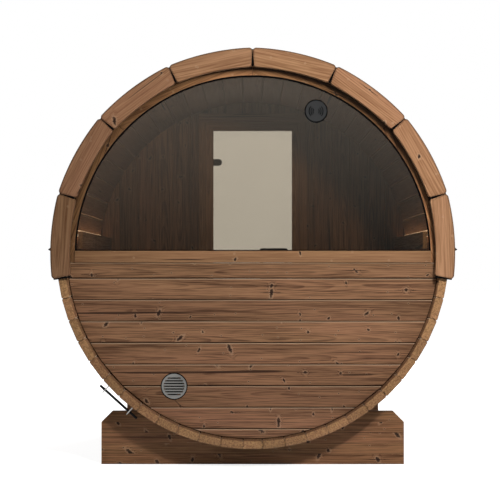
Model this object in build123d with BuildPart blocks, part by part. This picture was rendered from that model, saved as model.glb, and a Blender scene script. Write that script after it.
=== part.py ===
"""Barrel sauna: a lying barrel of staves on two cradles, with a half-moon window at one end
and a glass door set back in the other.

Frame: +Z up, +Y along the barrel towards the door, X across it. The origin is on the ground
under the middle of the barrel. All lengths are in millimetres and all angles in degrees.
"""

import os
from math import asin, cos, degrees, radians, sin, sqrt, tan

from build123d import *

os.makedirs("parts", exist_ok=True)

# Barrel
barrel_radius = 1000.0  # from the axis to the middle of a stave's outer face
barrel_length = 2200.0
ground_gap = 108.0  # under the lowest stave
stave_thickness = 42.0
stave_count = 54
closing_stave_angle = 5.8  # the last stave, at the very bottom, is ripped narrower
stave_chamfer = 4.0
croze_depth = 12.0  # groove in the staves that holds an end wall

# Fits
board_gap = 0.4  # between neighbouring boards
seat_gap = 0.3  # between a piece and the curved face that carries it
door_clearance = 5.0  # round the moving leaf

# Cradles
cradle_width = 1590.0
cradle_height = 277.0
cradle_thickness = 60.0
cradle_setback = 250.0  # from the stave ends
cradle_corner = 55.0

# End walls
wall_thickness = 42.0
wall_board_width = 110.5
wall_board_chamfer = 5.0
window_wall_setback = 70.0
door_wall_setback = 408.0

# Window
window_sill_rise = 11.0  # of its top above the barrel's axis
window_sill_height = 61.0
window_sill_stand_out = 8.0
top_wall_board_width = 81.5
window_frame_width = 42.0
window_frame_pieces = 4
window_seal_width = 5.0
window_seal_depth = 20.0
window_glass_thickness = 8.0
window_glass_setback = 15.0  # behind the frame's outer face

# Round vent in the window glass
glass_vent_angle = 65.9  # round the barrel's axis, from +X towards +Z
glass_vent_edge_distance = 50.0  # from the glass's curved edge
glass_vent_radius = 60.0
glass_vent_thickness = 10.0
glass_vent_sleeve_radius = 42.0
glass_vent_slot_count = 3
glass_vent_first_slot = 16.0
glass_vent_slot_pitch = 10.0
glass_vent_slot_width = 5.0
glass_vent_slot_angle = 80.0

# Round grille in the wall under the window
wall_vent_angle = 239.5
wall_vent_edge_distance = 99.0  # from the staves
wall_vent_radius = 64.0
wall_vent_rim = 10.0
wall_vent_thickness = 8.0
wall_vent_duct_radius = 48.0
wall_vent_slot_count = 7
wall_vent_slot_pitch = 14.0
wall_vent_slot_height = 7.0

# Doorway, frame and casings
doorway_width = 492.0
threshold_rise = 10.0  # of the doorway's foot above the floor
casing_corner_gap = 7.0  # from the casing's upper corners to the staves
jamb_width = 45.0
head_height = 50.0
threshold_height = 50.0
casing_width = 46.0
casing_head_height = 55.0
casing_thickness = 18.0
glass_overlap = 12.0  # of the leaf behind the jamb, head and threshold

# Door leaf, hinges and handle
door_glass_thickness = 8.0
hinge_plate_height = 41.0
hinge_plate_reach = 53.0  # of the rounded plate into the doorway
hinge_plate_thickness = 5.0
hinge_inset = 196.0  # of the hinges from the doorway's head and foot
hinge_pin_radius = 4.0
hinge_pin_clearance = 0.05
hinge_knuckle_radius = 7.0
hinge_knuckle_height = 14.0
hinge_knuckle_gap = 1.0
hinge_knuckle_stand_off = 0.5
hinge_axis_offset = 8.0  # from the leaf's edge to the hinge axis
hinge_frame_plate_width = 36.0
hinge_frame_plate_thickness = 4.0
glass_bolt_radius = 9.0
glass_bolt_clearance = 0.3
handle_width = 171.0
handle_height = 200.0
handle_rise = 48.0  # of its top above the barrel's axis
handle_edge_distance = 29.0  # from the doorway's edge
handle_bar = 18.0
handle_corner = 8.0
handle_stand_off = 40.0

# Floor
floor_rise = 140.0  # of its top above the lowest stave
floor_board_thickness = 28.0
floor_board_gap = 8.0
floor_board_count = 9
joist_width = 45.0
joist_height = 58.0
joist_count = 4
joist_inset = 120.0  # from the end walls to the outer joists

# Backrests and the light strips behind them
backrest_rise = 112.0  # of its top above the barrel's axis
backrest_stand_off = 78.0  # of its face from the staves
backrest_board_height = 90.0
backrest_board_thickness = 22.0
backrest_board_count = 3
backrest_board_gap = 18.0
backrest_batten_width = 40.0
backrest_batten_count = 3
backrest_batten_inset = 150.0
cabin_end_gap = 3.0  # from the end walls to the floor and the backrests
light_strip_height = 10.0
light_strip_thickness = 12.0
light_strip_drop = 14.0  # under the top edge of the backrest

# Bands with their tensioners
band_width = 25.0
band_thickness = 1.5
band_setback = 75.0  # of the end bands from the stave ends
tensioner_angle = 228.0
tensioner_rod_radius = 4.0
tensioner_rod_length = 255.0
tensioner_rod_height = 31.0  # of the rod's axis above the staves
tensioner_upper_bracket = 92.5  # from the middle of the rod
tensioner_lower_bracket = 73.5
tensioner_bracket_height = 50.0
tensioner_bracket_thickness = 5.0
tensioner_hole_clearance = 0.5
tensioner_nut_radius = 8.0
tensioner_nut_height = 8.0

# Roof covering and drip edges
roof_thickness = 6.0
roof_ridge_gap = 0.4
drip_thickness = 2.0
drip_tip_stand_out = 43.0  # of its tip from the staves
drip_tip_height = 16.0  # of its tip above the barrel's axis
drip_fold_stand_out = 14.0
drip_fold_height = 31.0
drip_tuck_height = 60.0  # of the strip that runs up under the covering

# Arch boards over both ends
arch_board_count = 8
arch_board_angle = 24.57
arch_board_gap = 6.0
arch_centre_rise = 13.0  # of the arch's centre above the barrel's axis
arch_stand_out = 31.0  # of a board's corners from the staves, about the arch's own centre
arch_board_depth = 97.0
arch_outer_flatness = 4.0  # how far the middle of an edge falls inside its corners' circle
arch_inner_flatness = 6.0
arch_thickness = 42.0
arch_corner = 10.0

# Places that follow from those
axis_height = ground_gap + barrel_radius
stave_inner_radius = barrel_radius - stave_thickness
stave_pitch = (360 - closing_stave_angle) / (stave_count - 1)
stave_corner_radius = barrel_radius / cos(radians(stave_pitch / 2))
wall_radius = stave_inner_radius + croze_depth - seat_gap
front_end = -barrel_length / 2
back_end = barrel_length / 2
window_wall_out = front_end + window_wall_setback
window_wall_in = window_wall_out + wall_thickness
door_wall_out = back_end - door_wall_setback
door_wall_in = door_wall_out - wall_thickness
cabin_length = door_wall_in - window_wall_in


def end_plane(y):
    """A plane across the barrel at y, centred on its axis: local x is +X, local y is +Z."""
    return Plane(origin=(0, y, axis_height), x_dir=(1, 0, 0), z_dir=(0, -1, 0))


def radial_plane(angle, y=0.0, rise=0.0):
    """A plane across the barrel whose local x points outwards at an angle from +X towards +Z."""
    outwards = (cos(radians(angle)), 0, sin(radians(angle)))
    return Plane(origin=(0, y, axis_height + rise), x_dir=outwards, z_dir=(0, -1, 0))


def keep(builder, name):
    """Labels a finished piece and writes it to its own file."""
    builder.part.label = name
    export_step(builder.part, f"parts/{name}.step")


# --- Staves -----------------------------------------------------------------------------


def stave_angle(index):
    """The middle of a stave, counted from the closing stave at the bottom."""
    if index == 0:
        return 270.0
    return 270.0 + closing_stave_angle / 2 + stave_pitch * (index - 0.5)


def stave_half_angle(index):
    """Half the angle that a stave takes up."""
    return closing_stave_angle / 2 if index == 0 else stave_pitch / 2


def make_staves(name, indices):
    """One group of neighbouring staves, each with a groove for both end walls."""
    with BuildPart() as staves:
        for index in indices:
            half_tangent = tan(radians(stave_half_angle(index)))
            outer_half = barrel_radius * half_tangent - board_gap / 2
            inner_half = stave_inner_radius * half_tangent - board_gap / 2
            with BuildSketch(radial_plane(stave_angle(index))) as section:
                with BuildLine():
                    Polyline(
                        (stave_inner_radius, -inner_half),
                        (barrel_radius, -outer_half),
                        (barrel_radius, outer_half),
                        (stave_inner_radius, inner_half),
                        close=True,
                    )
                make_face()
                chamfer(section.vertices(), length=stave_chamfer)
            extrude(amount=barrel_length / 2, both=True)
        for groove_start in (window_wall_in, door_wall_out):
            with BuildSketch(end_plane(groove_start + board_gap / 2)):
                Circle(stave_inner_radius + croze_depth)
                Circle(stave_inner_radius - croze_depth, mode=Mode.SUBTRACT)
            extrude(amount=wall_thickness + board_gap, mode=Mode.SUBTRACT)
    keep(staves, name)


stave_nodes = (
    "staves_bottom",
    "staves_lower_right",
    "staves_right",
    "staves_upper_right",
    "staves_top_right",
    "staves_top_left",
    "staves_upper_left",
    "staves_left",
    "staves_lower_left",
)
staves_per_node = stave_count / len(stave_nodes)
for group, node_name in enumerate(stave_nodes):
    first_stave = round(staves_per_node * (group - 0.5))
    next_stave = round(staves_per_node * (group + 0.5))
    make_staves(node_name, [index % stave_count for index in range(first_stave, next_stave)])

# --- Cradles ----------------------------------------------------------------------------


def make_cradle(name, outer_face, inwards):
    """A thick board on edge with a saddle cut to the barrel and its top corners cut off."""
    with BuildPart() as cradle:
        with BuildSketch(end_plane(outer_face)) as section:
            with Locations((0, cradle_height / 2 - axis_height)):
                Rectangle(cradle_width, cradle_height)
            chamfer(section.vertices().group_by(Axis.Y)[-1], length=cradle_corner)
            Circle(stave_corner_radius + seat_gap, mode=Mode.SUBTRACT)
        extrude(amount=-inwards * cradle_thickness)
    keep(cradle, name)


make_cradle("cradle_window_end", front_end + cradle_setback, 1)
make_cradle("cradle_door_end", back_end - cradle_setback, -1)

# --- Window end wall --------------------------------------------------------------------

window_sill_top = axis_height + window_sill_rise
window_sill_bottom = window_sill_top - window_sill_height
window_frame_inner = stave_inner_radius - window_frame_width
window_glass_radius = window_frame_inner - window_seal_width
window_glass_out = window_wall_out + window_glass_setback
glass_vent_reach = window_glass_radius - glass_vent_edge_distance - glass_vent_radius
wall_vent_reach = stave_inner_radius - wall_vent_edge_distance - wall_vent_radius


def window_board_joints():
    """Heights of the joints between the lower boards, from the sill's underside down."""
    height = window_sill_bottom - top_wall_board_width
    joints = [window_sill_bottom, height]
    while height - wall_board_width > axis_height - wall_radius:
        height -= wall_board_width
        joints.append(height)
    joints.append(axis_height - wall_radius)
    return joints


def polar(angle, reach):
    """A point across the barrel, as local coordinates on an end plane."""
    return (reach * cos(radians(angle)), reach * sin(radians(angle)))


glass_vent_centre = polar(glass_vent_angle, glass_vent_reach)
wall_vent_centre = polar(wall_vent_angle, wall_vent_reach)
joint_heights = window_board_joints()
with BuildPart() as window_wall:
    for top, bottom in zip(joint_heights, joint_heights[1:]):
        with BuildSketch(end_plane(window_wall_in)):
            Circle(wall_radius)
            with Locations((0, (top + bottom) / 2 - axis_height)):
                Rectangle(2 * wall_radius, top - bottom - board_gap, mode=Mode.INTERSECT)
        extrude(amount=wall_thickness)
    chamfer(window_wall.edges().filter_by(Axis.X), length=wall_board_chamfer)
    with BuildSketch(end_plane(window_wall_in)):
        with Locations(wall_vent_centre):
            Circle(wall_vent_duct_radius)
    extrude(amount=wall_thickness, mode=Mode.SUBTRACT)
keep(window_wall, "window_wall_boards")

with BuildPart() as window_sill:
    with BuildSketch(end_plane(window_wall_in)):
        Circle(window_frame_inner - seat_gap)
        with Locations((0, window_sill_top - window_sill_height / 2 - axis_height)):
            Rectangle(2 * wall_radius, window_sill_height - board_gap, mode=Mode.INTERSECT)
    extrude(amount=wall_thickness + window_sill_stand_out)
    chamfer(window_sill.edges().filter_by(Axis.X), length=wall_board_chamfer)
keep(window_sill, "window_sill")

frame_start = degrees(asin((window_sill_bottom + board_gap - axis_height) / window_frame_inner))
frame_sweep = (180 - 2 * frame_start) / window_frame_pieces
with BuildPart() as window_frame:
    for piece in range(window_frame_pieces):
        middle = frame_start + frame_sweep * (piece + 0.5)
        half_tangent = tan(radians(frame_sweep / 2))
        with BuildSketch(radial_plane(middle, window_wall_in)):
            Circle(wall_radius)
            Circle(window_frame_inner, mode=Mode.SUBTRACT)
            with BuildLine():
                Polyline(
                    (board_gap, 0),
                    (board_gap + 2 * wall_radius, -2 * wall_radius * half_tangent),
                    (board_gap + 2 * wall_radius, 2 * wall_radius * half_tangent),
                    close=True,
                )
            make_face(mode=Mode.INTERSECT)
        extrude(amount=wall_thickness)
    with BuildSketch(end_plane(window_wall_in)):
        with Locations((0, window_sill_bottom + board_gap - axis_height)):
            Rectangle(2 * wall_radius, wall_thickness, align=(Align.CENTER, Align.MAX))
    extrude(amount=wall_thickness, mode=Mode.SUBTRACT)
keep(window_frame, "window_frame")

with BuildPart() as window_seal:
    for radius, foot, mode in (
        (window_frame_inner - seat_gap, window_sill_top + seat_gap, Mode.ADD),
        (window_glass_radius + seat_gap, window_sill_top + window_seal_width, Mode.SUBTRACT),
    ):
        with BuildSketch(end_plane(window_glass_out + window_seal_depth / 2)):
            Circle(radius)
            with Locations((0, foot - axis_height)):
                Rectangle(
                    2 * wall_radius,
                    wall_radius,
                    align=(Align.CENTER, Align.MIN),
                    mode=Mode.INTERSECT,
                )
        extrude(amount=window_seal_depth, mode=mode)
keep(window_seal, "window_seal")

with BuildPart() as window_glass:
    with BuildSketch(end_plane(window_glass_out + window_glass_thickness)):
        Circle(window_glass_radius)
        with Locations((0, window_sill_top + window_seal_width + seat_gap - axis_height)):
            Rectangle(
                2 * wall_radius,
                wall_radius,
                align=(Align.CENTER, Align.MIN),
                mode=Mode.INTERSECT,
            )
        with Locations(glass_vent_centre):
            Circle(glass_vent_sleeve_radius + seat_gap, mode=Mode.SUBTRACT)
    extrude(amount=window_glass_thickness)
keep(window_glass, "window_glass")

# --- Vents ------------------------------------------------------------------------------

# Middle lines of the slots in the outer disc, in rows to the left and right of its centre
glass_vent_slot_lines = [
    CenterArc(
        (0, 0),
        glass_vent_first_slot + glass_vent_slot_pitch * number,
        side - glass_vent_slot_angle / 2,
        glass_vent_slot_angle,
    )
    for number in range(glass_vent_slot_count)
    for side in (0, 180)
]

with BuildPart() as window_vent:
    for face, thickness in (
        (window_glass_out, glass_vent_thickness),
        (window_glass_out + window_glass_thickness + glass_vent_thickness, glass_vent_thickness),
    ):
        with BuildSketch(end_plane(face)):
            with Locations(glass_vent_centre):
                Circle(glass_vent_radius)
        extrude(amount=thickness)
    with BuildSketch(end_plane(window_glass_out + window_glass_thickness)):
        with Locations(glass_vent_centre):
            Circle(glass_vent_sleeve_radius)
    extrude(amount=window_glass_thickness)
    with BuildSketch(end_plane(window_glass_out)):
        with Locations(glass_vent_centre):
            for line in glass_vent_slot_lines:
                SlotArc(line, glass_vent_slot_width)
    extrude(amount=glass_vent_thickness, mode=Mode.SUBTRACT)
keep(window_vent, "window_vent")

with BuildPart() as wall_vent:
    with BuildSketch(end_plane(window_wall_out)):
        with Locations(wall_vent_centre):
            Circle(wall_vent_radius)
    extrude(amount=wall_vent_thickness)
    with BuildSketch(end_plane(window_wall_out)):
        for row in range(wall_vent_slot_count):
            rise = wall_vent_slot_pitch * (row - (wall_vent_slot_count - 1) / 2)
            half_width = sqrt((wall_vent_radius - wall_vent_rim) ** 2 - rise**2)
            with Locations((wall_vent_centre[0], wall_vent_centre[1] + rise)):
                Rectangle(2 * half_width, wall_vent_slot_height)
    extrude(amount=wall_vent_thickness, mode=Mode.SUBTRACT)
keep(wall_vent, "wall_vent_grille")

# --- Door end wall ----------------------------------------------------------------------

doorway_half = doorway_width / 2
frame_half = doorway_half + jamb_width
casing_half = frame_half + casing_width
casing_top = axis_height + sqrt((stave_inner_radius - casing_corner_gap) ** 2 - casing_half**2)
frame_top = casing_top - casing_head_height
doorway_top = frame_top - head_height
floor_top = axis_height - stave_inner_radius + floor_rise
doorway_bottom = floor_top + threshold_rise
frame_bottom = doorway_bottom - threshold_height
frame_in = door_wall_in
frame_out = door_wall_out + casing_thickness
rough_half = frame_half + seat_gap


def make_door_wall(name, left, right, bottom, top):
    """The wall's vertical boards inside one rectangle beside, over or under the doorway."""
    board_total = 2 * int(wall_radius / wall_board_width) + 3
    with BuildPart() as wall:
        for number in range(board_total):
            board_left = wall_board_width * (number - board_total / 2)
            low = max(board_left, left) + board_gap / 2
            high = min(board_left + wall_board_width, right) - board_gap / 2
            inside = wall_radius - board_gap
            if high - low < 2 * wall_board_chamfer or min(abs(low), abs(high)) >= inside:
                continue
            with BuildSketch(end_plane(door_wall_out)):
                Circle(wall_radius)
                with Locations(((low + high) / 2, (bottom + top) / 2 - axis_height)):
                    Rectangle(high - low, top - bottom, mode=Mode.INTERSECT)
            extrude(amount=wall_thickness)
    keep(wall, name)


full_bottom = axis_height - wall_radius
full_top = axis_height + wall_radius
make_door_wall("door_wall_left", -wall_radius, -rough_half, full_bottom, full_top)
make_door_wall("door_wall_right", rough_half, wall_radius, full_bottom, full_top)
make_door_wall("door_wall_over", -rough_half, rough_half, frame_top + seat_gap, full_top)
make_door_wall("door_wall_under", -rough_half, rough_half, full_bottom, frame_bottom - seat_gap)

# Across a jamb, head or threshold: the stop that the leaf closes on, then a step for the leaf.
leaf_out = frame_out
leaf_in = leaf_out - door_glass_thickness
stop_out = leaf_in - door_clearance
rebate = glass_overlap + door_clearance

frame_middle = (frame_top + frame_bottom) / 2 - axis_height
with BuildPart() as door_frame:
    for depth_from, depth_to, step in ((frame_in, stop_out, 0.0), (stop_out, frame_out, rebate)):
        inner_half = doorway_half + step
        jamb_middle = (inner_half + frame_half) / 2
        with BuildSketch(end_plane(depth_to)):
            with Locations((-jamb_middle, frame_middle), (jamb_middle, frame_middle)):
                Rectangle(frame_half - inner_half, frame_top - frame_bottom)
            for low, high in ((frame_bottom, doorway_bottom - step), (doorway_top + step, frame_top)):
                with Locations((0, (low + high) / 2 - axis_height)):
                    Rectangle(2 * (doorway_half - seat_gap), high - low)
        extrude(amount=depth_to - depth_from)
keep(door_frame, "door_frame")


def make_casing(name, face):
    """Two legs and a head board flat on the wall round the door frame."""
    leg_middle = frame_half + casing_width / 2
    leg_bottom = floor_top
    leg_top = frame_top
    with BuildPart() as casing:
        with BuildSketch(end_plane(face)):
            with Locations(
                (-leg_middle, (leg_bottom + leg_top) / 2 - axis_height),
                (leg_middle, (leg_bottom + leg_top) / 2 - axis_height),
            ):
                Rectangle(casing_width - 2 * seat_gap, leg_top - leg_bottom)
            with Locations((0, leg_top + casing_head_height / 2 - axis_height)):
                Rectangle(2 * casing_half, casing_head_height - 2 * board_gap)
            Circle(stave_inner_radius - seat_gap, mode=Mode.INTERSECT)
        extrude(amount=casing_thickness)
    keep(casing, name)


make_casing("door_casing_inside", door_wall_in)
make_casing("door_casing_outside", frame_out)

# --- Door leaf --------------------------------------------------------------------------

leaf_half = doorway_half + glass_overlap
leaf_bottom = doorway_bottom - glass_overlap
leaf_top = doorway_top + glass_overlap
hinge_x = -(leaf_half + hinge_axis_offset)
hinge_y = frame_out + hinge_knuckle_radius + hinge_knuckle_stand_off
hinge_heights = (doorway_bottom + hinge_inset, doorway_top - hinge_inset)
hinge_bolt_x = -doorway_half + hinge_plate_reach - hinge_plate_height / 2
handle_middle = doorway_half - handle_edge_distance - handle_width / 2
handle_bolt_half = (handle_width - handle_bar) / 2
handle_z = axis_height + handle_rise - handle_height / 2

with BuildPart() as door_glass:
    with BuildSketch(end_plane(leaf_out)):
        with Locations((0, (leaf_bottom + leaf_top) / 2 - axis_height)):
            Rectangle(2 * leaf_half, leaf_top - leaf_bottom)
        with Locations(*[(hinge_bolt_x, height - axis_height) for height in hinge_heights]):
            Circle(glass_bolt_radius + glass_bolt_clearance, mode=Mode.SUBTRACT)
        with Locations(
            (handle_middle - handle_bolt_half, handle_z - axis_height),
            (handle_middle + handle_bolt_half, handle_z - axis_height),
        ):
            Circle(glass_bolt_radius + glass_bolt_clearance, mode=Mode.SUBTRACT)
    extrude(amount=door_glass_thickness)
keep(door_glass, "door_glass")


def hinge_circle_plane(height):
    """A level plane at a height, centred on the hinge axis."""
    return Plane(origin=(hinge_x, hinge_y, height), x_dir=(1, 0, 0), z_dir=(0, 0, 1))


with BuildPart() as door_hinges:
    for height in hinge_heights:
        plate_end = -doorway_half + hinge_plate_reach
        for face, plate_start in (
            (leaf_out + hinge_plate_thickness, -leaf_half),
            (leaf_in, -doorway_half + door_clearance),
        ):
            plate_length = plate_end - plate_start
            with BuildSketch(end_plane(face)) as plate:
                with Locations(((plate_start + plate_end) / 2, height - axis_height)):
                    Rectangle(plate_length, hinge_plate_height)
                fillet(plate.vertices().group_by(Axis.X)[-1], radius=hinge_plate_height / 2 - seat_gap)
            extrude(amount=hinge_plate_thickness)
        with BuildSketch(end_plane(leaf_out)):
            with Locations((hinge_bolt_x, height - axis_height)):
                Circle(glass_bolt_radius)
        extrude(amount=door_glass_thickness)
        with BuildSketch(hinge_circle_plane(height - hinge_plate_height / 2)):
            Circle(hinge_knuckle_radius)
            with Locations((0, 0)):
                Rectangle(
                    2 * hinge_axis_offset,
                    hinge_knuckle_radius / 2,
                    align=(Align.MIN, Align.MAX),
                )
        extrude(amount=hinge_plate_height)
        with BuildSketch(hinge_circle_plane(height - hinge_plate_height / 2)):
            Circle(hinge_pin_radius + hinge_pin_clearance)
        extrude(amount=hinge_plate_height, mode=Mode.SUBTRACT)
keep(door_hinges, "door_hinges")

frame_hinge_half = hinge_plate_height / 2 + hinge_knuckle_gap + hinge_knuckle_height
frame_plate_edge = hinge_x - hinge_knuckle_radius - hinge_knuckle_gap
with BuildPart() as frame_hinges:
    for height in hinge_heights:
        with BuildSketch(end_plane(frame_out + hinge_frame_plate_thickness)):
            with Locations((frame_plate_edge, height - axis_height)):
                Rectangle(
                    hinge_frame_plate_width,
                    2 * frame_hinge_half,
                    align=(Align.MAX, Align.CENTER),
                )
        extrude(amount=hinge_frame_plate_thickness)
        upper_knuckle = height + frame_hinge_half - hinge_knuckle_height
        for knuckle_bottom in (height - frame_hinge_half, upper_knuckle):
            with BuildSketch(hinge_circle_plane(knuckle_bottom)):
                Circle(hinge_knuckle_radius)
                with Locations((0, frame_out - hinge_y)):
                    Rectangle(
                        hinge_x - frame_plate_edge + hinge_knuckle_gap,
                        hinge_frame_plate_thickness,
                        align=(Align.MAX, Align.MIN),
                    )
            extrude(amount=hinge_knuckle_height)
        with BuildSketch(hinge_circle_plane(height - frame_hinge_half)):
            Circle(hinge_pin_radius)
        extrude(amount=2 * frame_hinge_half)
keep(frame_hinges, "frame_hinges")

with BuildPart() as door_handle:
    for loop_face in (leaf_out + handle_stand_off, leaf_in - handle_stand_off + handle_bar):
        with BuildSketch(end_plane(loop_face)):
            with Locations((handle_middle, handle_z - axis_height)):
                RectangleRounded(handle_width, handle_height, handle_corner)
                Rectangle(
                    handle_width - 2 * handle_bar,
                    handle_height - 2 * handle_bar,
                    mode=Mode.SUBTRACT,
                )
        extrude(amount=handle_bar)
    for side in (-1, 1):
        with BuildSketch(end_plane(leaf_out + handle_stand_off - handle_bar / 2)):
            with Locations((handle_middle + side * handle_bolt_half, handle_z - axis_height)):
                Circle(glass_bolt_radius)
        extrude(amount=door_glass_thickness + 2 * handle_stand_off - handle_bar)
keep(door_handle, "door_handle")

# --- Floor ------------------------------------------------------------------------------

joist_top = floor_top - floor_board_thickness
floor_half = sqrt((stave_inner_radius - seat_gap) ** 2 - (axis_height - joist_top) ** 2)
floor_board_pitch = (2 * floor_half + floor_board_gap) / floor_board_count
with BuildPart() as floor_boards:
    for number in range(floor_board_count):
        across = floor_board_pitch * (number - (floor_board_count - 1) / 2)
        with BuildSketch(end_plane(door_wall_in - cabin_end_gap)):
            with Locations((across, joist_top + floor_board_thickness / 2 - axis_height)):
                Rectangle(floor_board_pitch - floor_board_gap, floor_board_thickness)
        extrude(amount=cabin_length - 2 * cabin_end_gap)
keep(floor_boards, "floor_boards")

joist_spacing = (cabin_length - 2 * joist_inset) / (joist_count - 1)
with BuildPart() as floor_joists:
    for number in range(joist_count):
        joist_face = window_wall_in + joist_inset + joist_spacing * number + joist_width / 2
        with BuildSketch(end_plane(joist_face)):
            Circle(stave_inner_radius - seat_gap)
            with Locations((0, joist_top - axis_height)):
                Rectangle(
                    2 * stave_inner_radius,
                    joist_height,
                    align=(Align.CENTER, Align.MAX),
                    mode=Mode.INTERSECT,
                )
        extrude(amount=joist_width)
keep(floor_joists, "floor_joists")

# --- Backrests and light strips ---------------------------------------------------------

backrest_top = axis_height + backrest_rise
backrest_front = stave_inner_radius - backrest_stand_off
backrest_pitch = backrest_board_height + backrest_board_gap
backrest_bottom = backrest_top - backrest_pitch * backrest_board_count + backrest_board_gap
backrest_back = backrest_front + backrest_board_thickness
batten_spacing = (cabin_length - 2 * backrest_batten_inset) / (backrest_batten_count - 1)


def make_backrest(name, side):
    """Level boards on upright battens that are cut to the staves behind them."""
    across = Align.MIN if side > 0 else Align.MAX
    with BuildPart() as backrest:
        for number in range(backrest_board_count):
            board_middle = backrest_top - backrest_pitch * number - backrest_board_height / 2
            with BuildSketch(end_plane(door_wall_in - cabin_end_gap)):
                with Locations((side * backrest_front, board_middle - axis_height)):
                    Rectangle(
                        backrest_board_thickness,
                        backrest_board_height,
                        align=(across, Align.CENTER),
                    )
            extrude(amount=cabin_length - 2 * cabin_end_gap)
        batten_top = backrest_top - light_strip_drop - light_strip_height - seat_gap
        batten_height = (batten_top + backrest_bottom) / 2
        for number in range(backrest_batten_count):
            batten_middle = window_wall_in + backrest_batten_inset + batten_spacing * number
            with BuildSketch(end_plane(batten_middle + backrest_batten_width / 2)):
                Circle(stave_inner_radius - seat_gap)
                with Locations((side * backrest_back, batten_height - axis_height)):
                    Rectangle(
                        stave_inner_radius - backrest_back,
                        batten_top - backrest_bottom,
                        align=(across, Align.CENTER),
                        mode=Mode.INTERSECT,
                    )
            extrude(amount=backrest_batten_width)
    keep(backrest, name)


make_backrest("backrest_left", -1)
make_backrest("backrest_right", 1)

strip_middle = backrest_top - light_strip_drop - light_strip_height / 2 - axis_height
strip_across = backrest_back + light_strip_thickness / 2
with BuildPart() as light_strips:
    with BuildSketch(end_plane(door_wall_in - cabin_end_gap)):
        with Locations((-strip_across, strip_middle), (strip_across, strip_middle)):
            Rectangle(light_strip_thickness, light_strip_height)
    extrude(amount=cabin_length - 2 * cabin_end_gap)
keep(light_strips, "light_strips")

# --- Bands and tensioners ---------------------------------------------------------------

band_inner = stave_corner_radius + seat_gap
band_outer = band_inner + band_thickness
rod_axis_radius = barrel_radius + tensioner_rod_height
bracket_reach = barrel_radius + tensioner_bracket_height


def make_band(name, middle):
    """A steel band that stops at two upright brackets, with the tensioner's gap between them."""
    with BuildPart() as band:
        with BuildSketch(radial_plane(tensioner_angle, middle + band_width / 2)):
            Circle(band_outer)
            Circle(band_inner, mode=Mode.SUBTRACT)
            with Locations((barrel_radius, (tensioner_upper_bracket - tensioner_lower_bracket) / -2)):
                Rectangle(
                    4 * stave_thickness,
                    tensioner_upper_bracket + tensioner_lower_bracket,
                    mode=Mode.SUBTRACT,
                )
            for along in (-tensioner_upper_bracket, tensioner_lower_bracket):
                foot = sqrt(band_inner**2 - along**2) + seat_gap
                with Locations((foot, along)):
                    Rectangle(
                        bracket_reach - foot,
                        tensioner_bracket_thickness,
                        align=(Align.MIN, Align.CENTER),
                    )
        extrude(amount=band_width)
        with BuildSketch(Plane(
            origin=radial_plane(tensioner_angle, middle).from_local_coords((rod_axis_radius, 0, 0)),
            x_dir=(0, 1, 0),
            z_dir=(-sin(radians(tensioner_angle)), 0, cos(radians(tensioner_angle))),
        )):
            Circle(tensioner_rod_radius + tensioner_hole_clearance)
        extrude(amount=tensioner_rod_length / 2, both=True, mode=Mode.SUBTRACT)
    keep(band, name)


band_middles = {
    "band_window_end": front_end + band_setback,
    "band_middle": 0.0,
    "band_door_end": back_end - band_setback,
}
for node_name, middle in band_middles.items():
    make_band(node_name, middle)

with BuildPart() as tensioner_rods:
    for middle in band_middles.values():
        start = radial_plane(tensioner_angle, middle).from_local_coords((rod_axis_radius, 0, 0))
        along_rod = (-sin(radians(tensioner_angle)), 0, cos(radians(tensioner_angle)))
        with BuildSketch(Plane(origin=start, x_dir=(0, 1, 0), z_dir=along_rod)):
            Circle(tensioner_rod_radius)
        extrude(amount=tensioner_rod_length / 2, both=True)
        for nut_face in (
            -tensioner_upper_bracket - tensioner_bracket_thickness / 2 - tensioner_nut_height,
            tensioner_lower_bracket + tensioner_bracket_thickness / 2,
        ):
            with BuildSketch(Plane(origin=start, x_dir=(0, 1, 0), z_dir=along_rod).offset(nut_face)):
                RegularPolygon(tensioner_nut_radius, 6)
            extrude(amount=tensioner_nut_height)
keep(tensioner_rods, "tensioner_rods")

# --- Roof covering and drip edges -------------------------------------------------------

roof_inner = band_outer + drip_thickness + 2 * seat_gap
roof_start_height = drip_fold_height + drip_thickness + seat_gap
drip_tip_reach = barrel_radius + drip_tip_stand_out
drip_fold_reach = barrel_radius + drip_fold_stand_out
roof_outer = roof_inner + roof_thickness


def make_roof(name, side):
    """Half of the covering: a curved sheet from the ridge down to the drip edge."""
    with BuildPart() as roof:
        with BuildSketch(end_plane(back_end)):
            Circle(roof_outer)
            Circle(roof_inner, mode=Mode.SUBTRACT)
            with Locations((side * (roof_ridge_gap / 2), roof_start_height)):
                Rectangle(
                    roof_outer,
                    roof_outer,
                    align=(Align.MIN if side > 0 else Align.MAX, Align.MIN),
                    mode=Mode.INTERSECT,
                )
        extrude(amount=barrel_length)
    keep(roof, name)


make_roof("roof_left", -1)
make_roof("roof_right", 1)


def make_drip_edge(name, side):
    """A folded sheet strip: up under the covering's lower edge, then out and down to its tip."""
    tuck_inner = band_outer + seat_gap
    across = Align.MIN if side > 0 else Align.MAX
    with BuildPart() as drip:
        with BuildSketch(end_plane(back_end)):
            Circle(tuck_inner + drip_thickness)
            Circle(tuck_inner, mode=Mode.SUBTRACT)
            with Locations((0, drip_fold_height)):
                Rectangle(
                    2 * tuck_inner,
                    drip_tuck_height,
                    align=(across, Align.MIN),
                    mode=Mode.INTERSECT,
                )
            with BuildLine():
                Polyline(
                    (side * tuck_inner, drip_fold_height),
                    (side * drip_fold_reach, drip_fold_height),
                    (side * drip_tip_reach, drip_tip_height),
                    (side * drip_tip_reach, drip_tip_height + drip_thickness),
                    (side * drip_fold_reach, drip_fold_height + drip_thickness),
                    (side * tuck_inner, drip_fold_height + drip_thickness),
                    close=True,
                )
            make_face()
        extrude(amount=barrel_length)
    keep(drip, name)


make_drip_edge("drip_edge_left", -1)
make_drip_edge("drip_edge_right", 1)

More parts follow.
